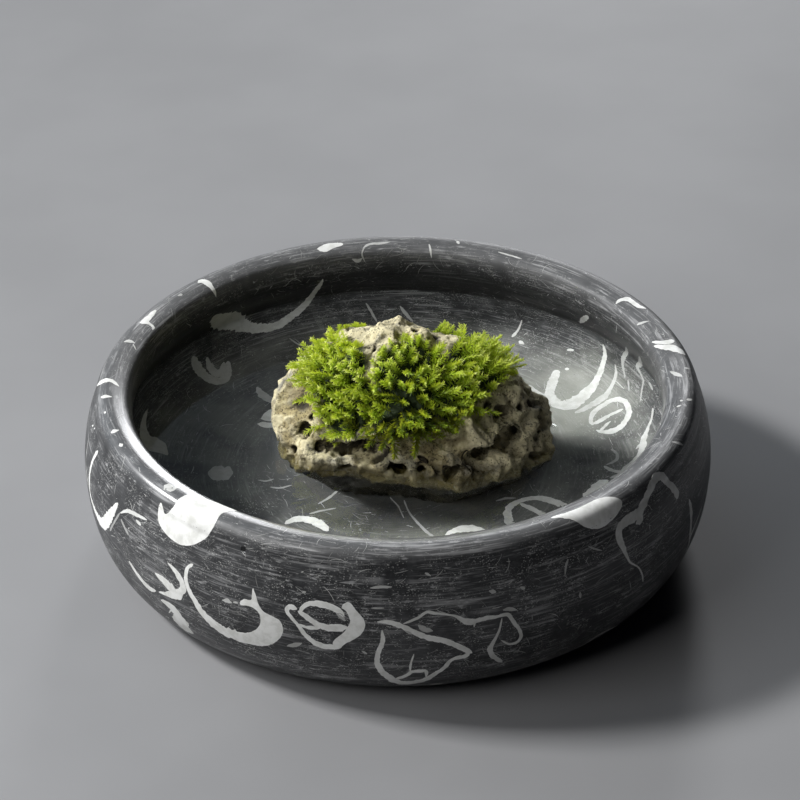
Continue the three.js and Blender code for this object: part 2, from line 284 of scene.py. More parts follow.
def basinStone(limestone):
    spans = [(lineRun[0], -95, 3.2), (-95, -24, 1.9), (-24, 22, 0.9), (22, footRun, 1.8),
             (footRun, lineRun[-1], 9)]
    corners = [footRun, lineRun[-2]]
    runs = np.unique(np.concatenate([np.arange(*span) for span in spans] + [corners]))
    runs = runs[(runs > lineRun[0] + 2) & (runs < lineRun[-1] - 4)]
    sides = basin["sides"]
    turns = np.arange(sides) * 360 / sides
    grid = onStone(*np.meshgrid(turns, runs))
    middle, under = onStone(0, lineRun[0]), onStone(0, lineRun[-1])
    points = np.vstack([grid.reshape(-1, 3), [[0, 0, middle[2]], [0, 0, under[2]]]])
    top, bottom, last = len(points) - 2, len(points) - 1, (len(runs) - 1) * sides
    faces = [face[::-1] for face in ringFaces(len(runs), sides)]
    faces += [(top, s, (s + 1) % sides) for s in range(sides)]
    faces += [(bottom, last + (s + 1) % sides, last + s) for s in range(sides)]
    made = piece("basin_stone", points * mm, faces, limestone, "basin", ["basin"], sharp=60)
    note(made, "run", np.concatenate([np.repeat(runs, sides), [lineRun[0], lineRun[-1]]]))
    return made


# Dark fossil limestone: soft mottling, lathe streaks that follow the turning, pale grit, a polished lip that
# is paler from wear and from painted sheen, and a wet hollow. Painted shade darkens the wall under the lip,
# small pits and the floor round the rock's foot, and a painted pool of light brightens the floor beside the
# rock.
limestoneLook = {"dark": (0.018, 0.0185, 0.020), "grey": (0.072, 0.073, 0.075),
                 "streak": (0.330, 0.330, 0.330), "wall": (0.009, 0.009, 0.009), "grit": (0.46, 0.46, 0.44),
                 "silt": (0.205, 0.208, 0.190), "pit": (0.004, 0.004, 0.004), "paintedLightPool": (0.44, 0.45, 0.40),
                 "paintedLightPoolAt": (0.080, 0.048, 0.022),
                 "pits": [(-117.8, 12.0, 1.5), (-84, 41.4, 0.9), (-141, 31.4, 0.8)]}


def limestone():
    look = limestoneLook
    material, sheet, shader = finish("dark_limestone", IOR=1.39, Coat_Roughness=0.3)
    where = sheet.where()
    run = sheet.noted("run")
    height = where.axis(2)
    along = sheet.add("ShaderNodeCombineXYZ", {}, {"Z": run * mm})
    lathe = where.stretched(0.05, 0.05, 0).shifted(along)
    shorter = where.stretched(0.22, 0.22, 0).shifted(along)
    mottle = where.cloud(46, 4, 0.55)
    patches = where.cloud(14, 2, 0.5, Distortion=0.6)
    blotches = where.cloud(190, 3, 0.62)
    streaks = lathe.cloud(520, 3, 0.62)
    fine = lathe.cloud(1500, 2, 0.55)
    dashes = shorter.cloud(820, 2, 0.5)
    worn = where.cloud(48, 3, 0.6)
    grit = where.stretched(1, 1, 1.6).cells(700)
    smaller = where.cells(1350)
    gritHere = where.cloud(110, 3, 0.6).between(0.38, 0.60)
    polishAndSheen = run.between(-16, -9) * run.between(10, 4)
    specks = (grit.between(0.30, 0.13) + smaller.between(0.28, 0.12) * 0.7) * gritHere * (1 - polishAndSheen * 0.6)
    scratches = streaks.between(0.54, 0.68) * 0.6 + fine.between(0.53, 0.66) * 0.4
    scratches = scratches * worn.between(0.32, 0.55)
    scratches = scratches * (1 + polishAndSheen * 0.5) + dashes.between(0.60, 0.70) * gritHere * 0.8
    shade = mottle.between(0.3, 0.75) * 0.4 + patches.between(0.35, 0.7) * 0.25
    shade = shade + blotches.between(0.42, 0.66) * 0.4
    colour = shade.blended(ink(*look["dark"]), ink(*look["grey"]))
    # Painted sheen, partly real wear: the lip is paler with streak colour and carries more scratches
    colour = (polishAndSheen * 0.22).blended(colour, ink(*look["streak"]))
    colour = scratches.blended(colour, ink(*look["streak"]))
    colour = (specks * 0.8).blended(colour, ink(*look["grit"]))
    wet = height.between(*wetBelow) * run.between(-8, -16)
    silt = height.between(0.030, 0.016) * wet * (0.25 + mottle.between(0.3, 0.7) * 0.55)
    colour = silt.blended(colour, ink(*look["silt"]))
    # Painted light: a pale pool on the wet floor behind and right of the rock, where the light falls
    paintedLightPool = (where.away(look["paintedLightPoolAt"]) + where.cloud(60, 3, 0.6) * 0.03).between(0.062, 0.022) * 0.55
    colour = paintedLightPool.blended(colour, ink(*look["paintedLightPool"]))
    # Painted shade: the dry inner wall just under the lip is darkened
    wall = run.between(-13, -20) * (1 - wet)
    colour = (wall * 0.72).blended(colour, ink(*look["wall"]))
    # Painted shadow: the wet floor in an oval round the rock's foot is darkened
    under = sheet.add("ShaderNodeVectorMath", {"operation": "LENGTH"}, {0: where.stretched(0.82, 1, 0)}, 1)
    colour = (under.between(0.060, 0.046) * wet * 0.7).blended(colour, ink(*look["dark"]))
    # Painted shade: three small pits are filled with near-black, besides the dent in their bump
    pitted = None
    for turn, down, radius in look["pits"]:
        hole = where.away(tuple(onStone(turn, down) * mm)).between(radius * mm, radius * 0.55 * mm)
        pitted = hole if pitted is None else pitted + hole
    colour = (pitted * 0.85).blended(colour, ink(*look["pit"]))
    smooth = polishAndSheen * where.axis(1).between(0.03, -0.04)
    rough = 0.34 + (fine * 0.1 + scratches * 0.12 + specks * 0.08) * (1 - smooth * 0.8) + wet * 0.3
    rough = rough + (polishAndSheen - smooth) * 0.12 - smooth * 0.12
    relief = (streaks * 0.35 + fine * 0.25 + specks * 0.15) * (1 - wet * 0.8) * (1 - polishAndSheen * 0.85)
    relief = relief - pitted * 6
    feed(shader, Base_Color=colour, Roughness=rough, Coat_Weight=smooth * 0.4,
         Normal=relief.bump(0.5, 0.00016))
    return material


# Calcite of the shells: white, faintly clouded, dimmed where a shell is buried deeper in the stone, and its
# brightness set shell by shell as painted shade and light
def calcite():
    material, sheet, shader = finish("calcite", IOR=1.55)
    where = sheet.where()
    height = where.axis(2)
    clear = sheet.noted("clear")
    cloudy = where.cloud(240, 4, 0.6)
    veins = where.cloud(90, 3, 0.5, Distortion=1.5)
    white = cloudy.between(0.35, 0.6).blended(ink(0.74, 0.74, 0.70), ink(0.88, 0.88, 0.85))
    white = (veins.between(0.55, 0.72) * 0.25).blended(white, ink(0.48, 0.48, 0.45))
    colour = clear.blended(ink(0.06, 0.061, 0.06), white)
    wet = height.between(*wetBelow)
    rough = 0.34 + wet * 0.3 + cloudy * 0.1
    feed(shader, Base_Color=colour, Roughness=rough, Normal=cloudy.bump(0.25, 0.0001))
    return material


# Shells cut flush by the lathe, drawn over the photograph. Each has how clearly it shows, the share
# of its drawn width that is kept, its strokes and its filled shapes. A stroke's numbers go in threes: pixels
# across, pixels down, and the width there. A filled shape's go in twos.
# A shell's first number, how clearly it shows, is partly painted shade and light: it is set for the light on
# that shell
fossils = {
    "hookLeft": (1, 1, [[98, 451, 2, 93, 460, 3, 90, 472, 3.5, 89.5, 483, 3.5, 91, 497, 3.5, 95, 510, 4.5,
        99, 519, 7, 103.5, 524, 8, 108, 519, 6, 113, 511, 4.5, 118, 503, 2]], []),
    "arcLeft": (0.8, 1, [[120, 513, 1.2, 128, 511, 3.5, 137, 515, 3, 147, 520, 1.5], [136, 520, 2,
        141, 525, 3]], []),
    "tickLeft": (0.4, 1, [[121, 519, 1.5, 125, 528, 1.5, 129, 535, 1], [120, 513, 1.2, 114, 523, 1.2,
        110, 531, 1]], []),
    "longArc": (0.85, 1, [[129, 561, 1.2, 138, 575, 2, 148, 587, 2.5, 156, 591, 1.5]], []),
    "vShell": (0.95, 1, [[155, 573, 1.5, 163, 580, 4.5, 170, 587, 5.5, 176, 591, 6], [168, 563, 1.5,
        176, 572, 4, 182, 583, 4.8, 182, 591, 7.5, 175, 595, 9, 166, 594, 3, 159, 592, 1.2]], []),
    "lowStroke": (0.85, 1, [[161, 600, 1.5, 170, 606, 4.5, 177, 614, 5.5, 182, 624, 8, 186, 631, 7],
        [172, 609, 2, 169, 613, 1]], []),
    "lipPatch": (1, 1, [], [[158, 517, 158.5, 509, 161, 502.5, 163, 508, 165, 514, 169, 512, 174, 506,
        179, 499, 185, 495.5, 192, 494, 196, 498.5, 205, 499, 215, 502, 225, 506, 237, 510, 229, 511.5,
        222, 513.5, 217, 520, 213, 528, 208, 536, 200, 542, 190, 545.5, 180, 544.5, 170, 538, 163, 530,
        159, 523]]),
    "lipBit": (0.8, 1, [[164, 490, 2, 168, 486, 5, 171, 490, 3.5, 176, 487.5, 2, 183, 487, 1]], []),
    "greatShell": (1, 1, [[193, 564, 3.1, 187, 569, 3.3, 186, 580, 3.4, 189, 590, 3.4, 195, 601, 4,
        203, 613, 5, 213, 623, 6.5, 225, 631.5, 7.5, 240, 636.5, 8]], [[234, 631, 246, 633, 255, 630,
        260, 624, 260, 616, 256, 610, 249, 606, 241, 605, 240, 602, 244, 599, 251, 600, 252, 594, 253, 588,
        256, 596, 259, 605, 264, 612, 272, 616, 280, 621, 283, 630, 280, 638, 272, 644, 262, 646, 250, 644,
        236, 640]]),
    "greatBits": (0.6, 1, [[222, 600, 1.5, 228, 601, 4, 232, 603, 2], [233, 602, 1.5, 238, 603, 3]], []),
    "ring": (1, 1, [[300, 612, 5, 303, 607, 5, 310, 603.5, 5, 320, 604, 6, 330, 606.5, 6, 340, 611.5, 5,
        344, 617, 3], [297, 609, 4, 290, 607, 5, 287, 611, 4, 291, 617, 3, 297, 624, 3, 303, 632, 4,
        311, 640, 4.5, 320, 645, 5, 330, 647, 5, 338, 647, 5], [298, 611, 4, 307, 617, 5, 315, 623, 5,
        325, 627, 6, 336, 628, 7, 347, 627, 6], [297, 624, 2, 308, 627.5, 3, 320, 628, 4]], [[343, 604,
        348, 602, 352, 605, 357, 611, 362, 617, 365, 623, 364, 630, 359, 636, 351, 641, 345, 644, 339, 649,
        334, 648, 333, 642, 338, 637, 344, 632, 347, 627, 350, 622, 349, 617, 346, 611, 342, 608]]),
    "ringBits": (0.45, 1, [[336, 613, 2, 341, 616, 4, 345, 621, 3], [362, 651, 2, 367, 654, 3]], []),
    "wedge": (0.85, 1, [[377, 622, 2, 388, 622, 4, 398, 625, 5, 408, 629, 5, 418, 634, 5, 430, 638, 5.5,
        445, 641, 5.5, 458, 646, 5, 468, 651, 5, 472, 653, 2.5], [470, 652, 3, 464, 656.5, 4, 456, 658, 3,
        450, 661, 3, 445, 667, 3, 436, 673, 3, 428, 678, 3.5, 420, 681, 3, 405, 683, 3, 395, 681, 4,
        386, 675, 5, 379, 667, 5.5, 377, 658, 5.5, 380, 648, 5, 383, 641, 4.5, 382, 630, 2],
        [396, 679, 2.5, 405, 676, 2.5, 412, 672, 3, 420, 671, 3, 426, 671, 3, 426, 677, 2], [414, 654, 1.2,
        411, 663, 2, 410, 671, 2.5]], []),
    "wedgeBits": (0.45, 1, [[418, 625, 2, 424, 629, 6, 433, 631, 2], [405, 631, 2, 412, 634, 3],
        [428, 690, 1, 436, 686, 4, 443, 683, 1]], []),
    "chain": (0.7, 1, [[403, 624, 1.5, 413, 620, 2.5, 421, 616, 3, 427, 612, 3, 434, 613, 3, 443, 614, 2,
        455, 616, 2, 462, 619.5, 5, 470, 622, 6, 478, 620, 4, 487, 618, 4, 497, 616.5, 3, 508, 614.5, 3.5,
        513, 621, 4, 519, 629, 4, 521, 636, 3, 517, 642, 2.5, 509, 644, 2, 501, 640, 1.2], [502, 618, 1.2,
        499, 631, 2, 494, 641, 3, 490, 649, 5, 493, 656, 5, 502, 662, 3], [475, 621, 2, 474, 627, 2.5]],
        []),
    "vein": (0.8, 1, [[677, 499, 4, 676, 492, 5, 668, 483, 5, 661, 476, 8, 655, 479, 7, 650, 490, 6,
        645, 500, 6, 640, 511, 7, 634, 516, 9, 627, 521, 9, 620, 527, 6, 619, 537, 6, 623, 547, 5,
        626, 554, 3, 630, 562, 2, 638, 567, 1.5, 642, 574, 1.2, 643, 582, 0.8], [638, 512, 4, 640, 519, 6,
        636, 524, 3]], []),
    "teardrop": (1, 1, [[551, 518, 1.5, 560, 516, 3, 570, 515, 6]], [[566, 512.5, 575, 509.5, 585, 505,
        595, 500, 606, 497, 615, 497.5, 621, 500, 622, 505, 618, 513, 611, 521, 603, 527, 595, 529,
        585, 527, 577, 522, 570, 519, 563, 518]]),
    "vRight": (0.7, 1, [[689, 499, 1.2, 691, 510, 2, 691, 525, 3, 690, 537, 4, 693, 530, 3, 697, 520, 2,
        702, 506, 1], [690, 537, 3, 688, 546, 2, 686, 553, 1]], []),
    "streakRight": (0.5, 1, [[575, 653, 0.8, 585, 645, 2, 597, 636, 2.5, 608, 630, 2.5, 620, 625, 1]], []),
    "specks": (0.45, 1, [[520, 587, 3, 525, 588.5, 5], [503, 610, 2, 510, 609, 4, 517, 610, 2],
        [568, 559, 3, 566, 566, 2, 565, 575, 1], [588, 546, 1, 595, 549, 2, 602, 550.5, 1.2], [580, 592, 2,
        580.5, 598, 3], [489, 591, 3, 496, 592, 5], [425, 573, 4, 431, 576, 2], [370, 588, 1.5,
        381, 587, 3, 392, 587, 2], [371, 608, 1.2, 384, 608, 2], [302, 592, 3, 306, 592, 3.5],
        [287, 646, 2, 295, 645, 4, 302, 643, 2]], []),
    "edgeLeft": (0.5, 1, [[89, 438, 1, 87, 450, 1.5, 86, 462, 1.5, 87, 476, 2.5, 89, 488, 2]], []),
    "rimArc": (1, 1, [[97, 386, 1.5, 101, 382, 2.5, 106, 380.3, 3, 111, 380.5, 3, 115, 383, 2.5,
        119, 386.5, 1.2]], []),
    "rimDash": (0.9, 1, [[101, 397, 1.5, 104, 396.6, 3, 112, 397, 1.2], [104, 413, 3, 106, 412, 3],
        [111, 433, 2, 114, 431.5, 4, 119, 430, 1.5], [119, 446, 2, 121, 445, 4, 123, 444, 2],
        [92, 425.5, 2.5, 93.5, 426, 2.5], [94, 428.5, 2, 95, 428.5, 2]], []),
    "rimTick": (0.75, 1, [[124, 342, 1.5, 129, 341, 3, 135, 343, 1.2], [133, 344, 1.2, 136, 350, 1]], []),
    "rimPatch": (1, 1, [], [[139.5, 323, 142, 320, 148, 315, 152, 311.5, 156, 310, 155, 314, 151, 319,
        149, 322, 152, 324, 155, 328, 152.5, 330, 151, 326, 147, 324, 143, 324]]),
    "rimHook": (1, 1, [[198, 283, 1.5, 202, 281, 4, 207, 283, 5, 211, 287, 4, 215, 293, 2.5, 216, 297, 1]],
        []),
    "rimFarSpot": (0.5, 1, [[178, 296, 2, 182, 294, 4]], []),
    "farPatch": (1, 1, [], [[317, 249, 321, 246, 326, 244, 334, 243, 342, 243, 343, 245, 337, 247,
        331, 249.5, 326, 252, 320, 251]]),
    "farArc": (0.6, 1, [[363, 248, 1.2, 370, 244, 2, 380, 243.5, 2, 390, 242, 1.2], [352, 259, 2,
        358, 261, 3.5, 362, 258, 1.5], [365, 246, 1.2, 362, 254, 1.5, 365, 262, 1]], []),
    "farTicks": (0.75, 1, [[429, 244, 1.5, 430.5, 250, 2, 431.5, 258, 1], [457, 241, 3, 459, 244, 3],
        [498, 252, 1, 512, 256, 1.5, 522, 259, 1]], []),
    "rimRight": (0.95, 1, [[616, 304, 2, 620, 300.5, 3, 627, 299, 4, 634, 303, 3, 640, 307, 3,
        646, 308.5, 1.2]], []),
    "rimRightTick": (0.7, 1, [[637, 325, 2.5, 643, 322.5, 2, 649, 321, 1]], []),
    "rimTwin": (0.95, 1, [[652, 342, 2, 660, 342.5, 3, 668, 342, 4, 674, 340.5, 4], [654, 346, 2.5,
        663, 347, 4, 671, 347.5, 6, 678, 350, 5, 685, 355, 1.5]], []),
    "rimLow": (0.7, 1, [[670, 371.5, 1.2, 676, 374, 3, 682, 376.5, 2], [684, 368, 1.5, 690, 369, 2],
        [680, 401, 3, 683, 400.5, 2.5], [687, 400, 4, 692, 399.5, 2], [677, 407, 3, 681, 405, 1.5],
        [672, 442, 1.5, 678, 443, 2, 683, 445, 1.5]], []),
    "wallCrescent": (0.85, 0.72, [[213, 317, 8, 221, 320, 18, 232, 322, 21, 248, 327, 14, 264, 328, 12,
        278, 325, 10, 290, 317, 9, 300, 309, 8, 311, 297, 6, 319, 286, 4, 323, 279, 1.5]], []),
    "wallLobes": (0.62, 1, [[193, 356, 4, 197, 366, 9, 205, 376, 8, 215, 381, 7, 224, 379, 8, 228, 370, 8,
        228, 361, 4], [207, 357, 3, 210, 366, 6, 216, 373, 8, 222, 371, 6, 224, 362, 3]], []),
    "wallHook": (0.68, 1, [], [[148, 408, 147, 415, 146, 424, 148, 432, 151, 436.5, 156, 437, 160, 440,
        165, 443, 167, 448, 168, 455, 160, 453, 150, 451, 145, 450, 141, 443, 140, 436, 140, 428,
        143, 416]]),
    "floorOval": (0.55, 1, [[208, 473, 8, 214, 473, 13, 222, 473, 14, 229, 473, 12, 233, 473, 7]], []),
    "floorPatch": (0.9, 1, [], [[261, 419, 264, 414, 270, 410, 278, 408.5, 289, 409, 290, 419, 278, 420.5,
        268, 421], [257, 424, 262, 422, 270, 423, 280, 423, 289, 424, 286, 428, 274, 428.5, 264, 427.5]]),
    "floorDash": (0.6, 1, [[257, 387, 3, 261, 393, 6, 268, 399, 6, 277, 402, 4]], []),
    "nearCrescent": (0.85, 1, [[285, 524, 2.5, 293, 520, 5, 303, 519, 6, 313, 521, 7, 321, 525, 6.5,
        328, 531, 4]], []),
    "nearCrescentRight": (0.85, 1, [[445, 535, 2, 455, 530.5, 5, 465, 528.5, 7, 474, 528.5, 6, 482, 530, 4,
        487, 531.5, 1.5]], []),
    "uShell": (0.74, 0.72, [[557, 370, 11, 552.5, 383, 12, 550, 394, 12, 556, 403, 12, 568, 405, 13,
        578, 400, 14, 588, 391, 12, 596, 381, 9, 601, 370, 7, 604, 360, 6, 605, 350, 4, 603.5, 344, 1.5]],
        []),
    "coil": (0.68, 0.8, [[593, 425, 4, 590.5, 420, 5, 594, 412, 5, 602, 406, 5, 611, 400.5, 5,
        620, 399.5, 6, 627, 404, 7, 629, 412, 7, 626, 420, 6, 620, 427, 6, 612, 431, 6, 603, 432, 4,
        596, 430, 2], [594, 424, 4, 603, 419, 4, 612, 414, 3, 623, 409, 3], [600, 431, 3, 607, 424, 2.5,
        611, 421, 1]], []),
    "coilTail": (0.6, 0.6, [[575, 413, 4, 588, 407, 7, 598, 401, 9, 605, 396, 9, 610, 389, 6,
        614, 381, 5.5, 616, 373, 4.5, 615, 364, 1.5], [616, 381, 2, 620, 385, 2, 624, 389, 1]], []),
    "lines": (0.42, 1, [[626, 347, 1.5, 625, 356, 3, 623, 365, 2.5, 625, 378, 1.2], [640, 357, 2.5,
        639, 366, 2, 642, 374, 1.5, 644, 380, 1.5, 642, 390, 1.5, 640, 402, 1], [628, 380, 2, 629, 391, 1],
        [650, 382, 2, 654, 390, 2]], []),
    "hookRight": (0.56, 1, [[653, 408, 2, 652, 417, 2, 648, 428, 2.5, 644, 438, 5, 643, 446, 6,
        642, 454, 4, 638, 463, 3, 632, 469, 3, 622, 472, 3, 611, 470, 3, 604, 466, 2.5], [610, 478, 2.5,
        618, 475.5, 2.5, 627, 472.5, 2], [640, 444, 2, 636, 449, 1.5]], []),
    "nearBean": (1, 1, [[608, 480, 3, 603, 483, 8, 598.5, 488, 10, 597, 494, 9, 597, 500, 7]], []),
    "faintCoil": (0.4, 1, [[611, 449, 2, 617, 454, 2.5, 616, 460, 2.5, 606, 465, 1.2]], []),
    "nearLoop": (0.9, 1, [[521, 526.5, 3, 512, 524, 7, 507.5, 516, 8, 509, 508, 6, 515, 503, 4,
        525, 499.5, 4, 538, 498, 4.5, 552, 501, 5.5, 563, 505, 5.5, 572, 509, 4.5, 578, 511, 3],
        [520, 503.5, 3, 530, 508, 4, 540, 513, 4.5, 549, 517, 4.5, 555, 517, 2.5]], []),
    "loopShadow": (0.35, 1, [[496, 501, 1.5, 505, 498.5, 2, 516, 498, 1.5]], []),
    "floorDots": (0.75, 1, [[565, 369, 4, 569, 369, 4], [567, 350, 2.5, 574, 350, 2.5], [580, 323, 2,
        584, 319, 5, 588, 316, 4], [512, 337, 3, 518, 330, 2, 522, 320, 1], [519, 341, 4, 524, 344, 3]],
        []),
    "farLines": (0.45, 1, [[366, 303, 1.5, 372, 313, 2.5, 377, 322, 1.5], [400, 306, 1.5, 406, 314, 3,
        413, 322, 1.5], [335, 332, 1.5, 350, 330, 2, 362, 332, 1], [289, 338, 1, 300, 345, 1.5,
        312, 347, 1]], []),
    "rockSide": (0.6, 1, [], [[521, 387, 529, 385, 537, 390, 546, 396, 542, 402, 533, 401, 526, 394]]),
    "floorLines": (0.4, 1, [[404, 500, 1.2, 409, 512, 1.5, 417, 522, 2, 428, 533, 2.5, 434, 538, 1.5],
        [318, 504, 1.2, 330, 497, 2, 341, 488, 1], [309, 514, 1, 320, 511, 1.5, 336, 508, 1], [258, 480, 1,
        266, 481, 1.5, 274, 479, 1], [270, 487, 1, 280, 488, 1.5, 292, 485, 1], [390, 497, 1,
        398, 506, 1.2, 404, 518, 1]], []),
}

# The photograph's side and the basin's middle in it, in pixels, how the picks are moved and widened, and how
# strongly water bends the view
photo = {"side": 800, "middle": (400, 450), "nudge": 0.004, "tries": 40, "pixelsPerMm": 2.2, "steepest": 3.2,
         "slack": 0.5, "slanted": 1.5, "thinnest": 0.3, "water": 1.33}


# The point of the stone that a pixel of the photograph shows, and whether it is seen through the water
def seenAt(across, down):
    eye = scene.camera.matrix_world
    half, focal = photo["side"] / 2, camera["lens"] / camera["sensor"] * photo["side"]
    start = eye.translation / mm
    way = (eye.to_3x3() @ Vector((across - half, half - down, -focal))).normalized()
    spot = stoneTree.ray_cast(start, way)[0]
    surface = start + way * ((waterLevel - start.z) / way.z)
    wet = spot is not None and spot.z < waterLevel and surface.xy.length < basin["hollow"]
    if wet:
        slowed = 1 / photo["water"]
        sunk = math.sqrt(1 - slowed ** 2 * (1 - way.z ** 2))
        spot = stoneTree.ray_cast(surface, Vector((way.x * slowed, way.y * slowed, -sunk)))[0]
    return spot, wet


# The turn and run of a point of the stone
def address(spot):
    place, legs = np.array([spot.xy.length, spot.z]), np.diff(line, axis=0)
    share = np.clip(((place - line[:-1]) * legs).sum(1) / np.maximum((legs ** 2).sum(1), 1e-9), 0, 1)
    i = np.linalg.norm(line[:-1] + legs * share[:, None] - place, axis=1).argmin()
    return math.degrees(math.atan2(spot.y, spot.x)), lineRun[i] + share[i] * (lineRun[i + 1] - lineRun[i])


# Where a pixel is on the stone. One that just misses, or shows the wrong side of the lip, is moved until it
# hits: off the water for the lip and the flank, and onto the water for the hollow. A pick for the hollow may
# also lie on its dry far wall, if it needs no moving.
def pinned(across, down, hollow):
    for attempt in range(photo["tries"]):
        spot, wet = seenAt(across, down)
        if spot is not None:
            turn, run = address(spot)
            farWall = attempt == 0 and run < basin["throatRun"] and spot.y > basin["dryFrom"]
            fits = wet or farWall if hollow else not wet
            if fits:
                return turn, run
        if wet:
            down += 1 if down > photo["side"] / 2 else -1
        else:
            across += (photo["middle"][0] - across) * photo["nudge"]
            down += (photo["middle"][1] - down) * photo["nudge"]


# A stroke on the stone: its width is measured between its two edge pixels, unless the stone is too slanted
def strokeOnStone(numbers, share, hollow):
    drawn = np.array(numbers, float).reshape(-1, 3)
    points = []
    for (across, down, width), way in zip(drawn, np.gradient(drawn[:, :2], axis=0)):
        place = pinned(across, down, hollow)
        if place is None:
            continue
        x, y = way / max(np.hypot(*way), 1e-6) * width / 2
        (one, _), (other, _) = seenAt(across - y, down + x), seenAt(across + y, down - x)
        flat = width / photo["pixelsPerMm"]
        seen = one is not None and other is not None
        wide = (one - other).length if seen else math.inf
        if wide > photo["steepest"] * flat + photo["slack"]:
            wide = photo["slanted"] * flat
        points.append((*place, max(wide, photo["thinnest"]) * share))
    return points


# A shell's strokes as (turn, run, width) and its filled shapes as (turn, run), with no jump where turns wrap
def shellOnStone(key, hollow):
    _, share, strokes, shapes = fossils[key]
    strokes = [strokeOnStone(numbers, share, hollow) for numbers in strokes]
    strokes = [points for points in strokes if len(points) > 1]
    shapes = [[pinned(*spot, hollow) for spot in zip(numbers[::2], numbers[1::2])] for numbers in shapes]
    shapes = [[place for place in shape if place] for shape in shapes]
    home = (strokes + shapes)[0][0][0]
    return [[[(turn + 360 * round((home - turn) / 360), *rest) for turn, *rest in points] for points in kind]
            for kind in (strokes, shapes)]


# A smooth line through the points of a stroke
def flowing(points, step):
    points = np.array(points, float)
    ends = np.vstack([2 * points[0] - points[1], points, 2 * points[-1] - points[-2]])
    steps = []
    for b, c in zip(points, points[1:]):
        radius = np.interp(b[1], lineRun, line[:, 0])
        steps.append(max(2, int(math.hypot(math.radians(c[0] - b[0]) * radius, c[1] - b[1]) / step)))
    return smoothLine(ends, steps)


# How a shell's edge runs: its steps and least widths in millimetres, how ragged it is, and how it tapers
edging = {"step": 0.75, "thinnest": 0.15, "leastHalf": 0.07, "coarse": (0.45, 0.34), "fine": (1.7, 0.2),
          "taper": (0.3, 2.2, 0.6), "patch": (0.7, 0.22)}


# The outline of a stroke, with a slightly broken edge
def strokeEdge(points, seed):
    (coarse, coarseDepth), (fine, fineDepth) = edging["coarse"], edging["fine"]
    start, full, power = edging["taper"]
    way = flowing(points, edging["step"])
    radius = np.interp(way[:, 1], lineRun, line[:, 0])
    across = np.gradient(np.radians(way[:, 0])) * radius
    down = np.gradient(way[:, 1])
    size = np.maximum(np.hypot(across, down), 1e-6)
    steps = np.arange(len(way))
    taper = np.minimum(1, (np.minimum(steps, steps[::-1]) + start) / full) ** power
    sides = []
    for side in (1, -1):
        ragged = [noise.noise((i * coarse, seed * 3.7, side * 9.1)) * coarseDepth
                  + noise.noise((i * fine, seed, side)) * fineDepth for i in range(len(way))]
        half = np.maximum(way[:, 2], edging["thinnest"]) / 2 * (1 + np.array(ragged)) * taper
        half = np.maximum(half, edging["leastHalf"]) * side
        sides.append(np.stack([way[:, 0] - np.degrees(down / size * half / radius),
                               way[:, 1] + across / size * half], 1))
    return np.vstack([sides[0], sides[1][::-1]])


# The outline of a filled shape, broken in the same way
def patchEdge(points, seed):
    pace, depth = edging["patch"]
    closed = np.array(list(points) + [points[0]], float)
    walked = flowing(np.column_stack([closed, np.zeros(len(closed))]), edging["step"])[:-1, :2]
    radius = np.interp(walked[:, 1], lineRun, line[:, 0])
    for i in range(len(walked)):
        walked[i, 0] += math.degrees(noise.noise((i * pace, seed * 5.3, 1)) * depth / radius[i])
        walked[i, 1] += noise.noise((i * pace, seed * 5.3, 8)) * depth
    return walked


# Joins a shell's outlines into one sheet of triangles, lifts it a hair over the stone and closes it below
def inlay(edges, lift, sunk):
    everything = np.vstack(edges)
    radius = np.interp(everything[:, 1].mean(), lineRun, line[:, 0])
    scale = np.array([math.radians(radius), 1.0])
    corners, loops = [], []
    for edge in edges:
        x, y = edge.T
        leftward = np.dot(x, np.roll(y, -1)) > np.dot(y, np.roll(x, -1))
        loops.append(list(range(len(corners), len(corners) + len(edge))))
        corners += [Vector(p) for p in (edge if leftward else edge[::-1]) * scale]
    low, high = everything.min(0) * scale, everything.max(0) * scale
    gap = 0.8 if low[1] < 14 and high[1] > -12 else 1.7
    for x in np.arange(low[0], high[0], gap):
        corners += [Vector((x + chance.uniform(-0.2, 0.2) * gap, y + chance.uniform(-0.2, 0.2) * gap))
                    for y in np.arange(low[1], high[1], gap)]
    flat, _, faces, _, _, within = delaunay_2d_cdt(corners, [], loops, 1, 1e-4)
    faces = [face for face, loop in zip(faces, within) if loop]
    used = sorted({i for face in faces for i in face})
    order = {old: new for new, old in enumerate(used)}
    flat = np.array([flat[i][:] for i in used]) / scale
    faces = [tuple(order[i] for i in face) for face in faces]
    count = len(flat)
    top, bottom = onStone(flat[:, 0], flat[:, 1], lift), onStone(flat[:, 0], flat[:, 1], -sunk)
    beside = {(a, b) for face in faces for a, b in zip(face, face[1:] + face[:1])}
    walls = [(a, a + count, b + count, b) for a, b in beside if (b, a) not in beside]
    below = [tuple(i + count for i in face[::-1]) for face in faces]
    return np.vstack([top, bottom]), faces + below + walls


# How far the inlays stand over the stone, so that crossing ones are apart, and how deep they reach
inlaid = {"proud": 0.05, "apart": 0.002, "sunk": 0.25}


def shellInlays(name, keys, material):
    points, faces, clear = [], [], []
    for seed, key in enumerate(keys):
        strokes, shapes = shellOnStone(key, name == "shells_hollow")
        edges = [strokeEdge(stroke, seed + i) for i, stroke in enumerate(strokes)]
        edges += [patchEdge(shape, seed + i) for i, shape in enumerate(shapes)]
        found, sheets = inlay(edges, inlaid["proud"] + inlaid["apart"] * (seed % 7), inlaid["sunk"])
        faces += [tuple(i + len(points) for i in face) for face in sheets]
        points += list(found)
        clear += [fossils[key][0]] * len(found)
    made = piece(name, np.array(points) * mm, faces, material, "basin", sharp=50)
    note(made, "clear", clear)


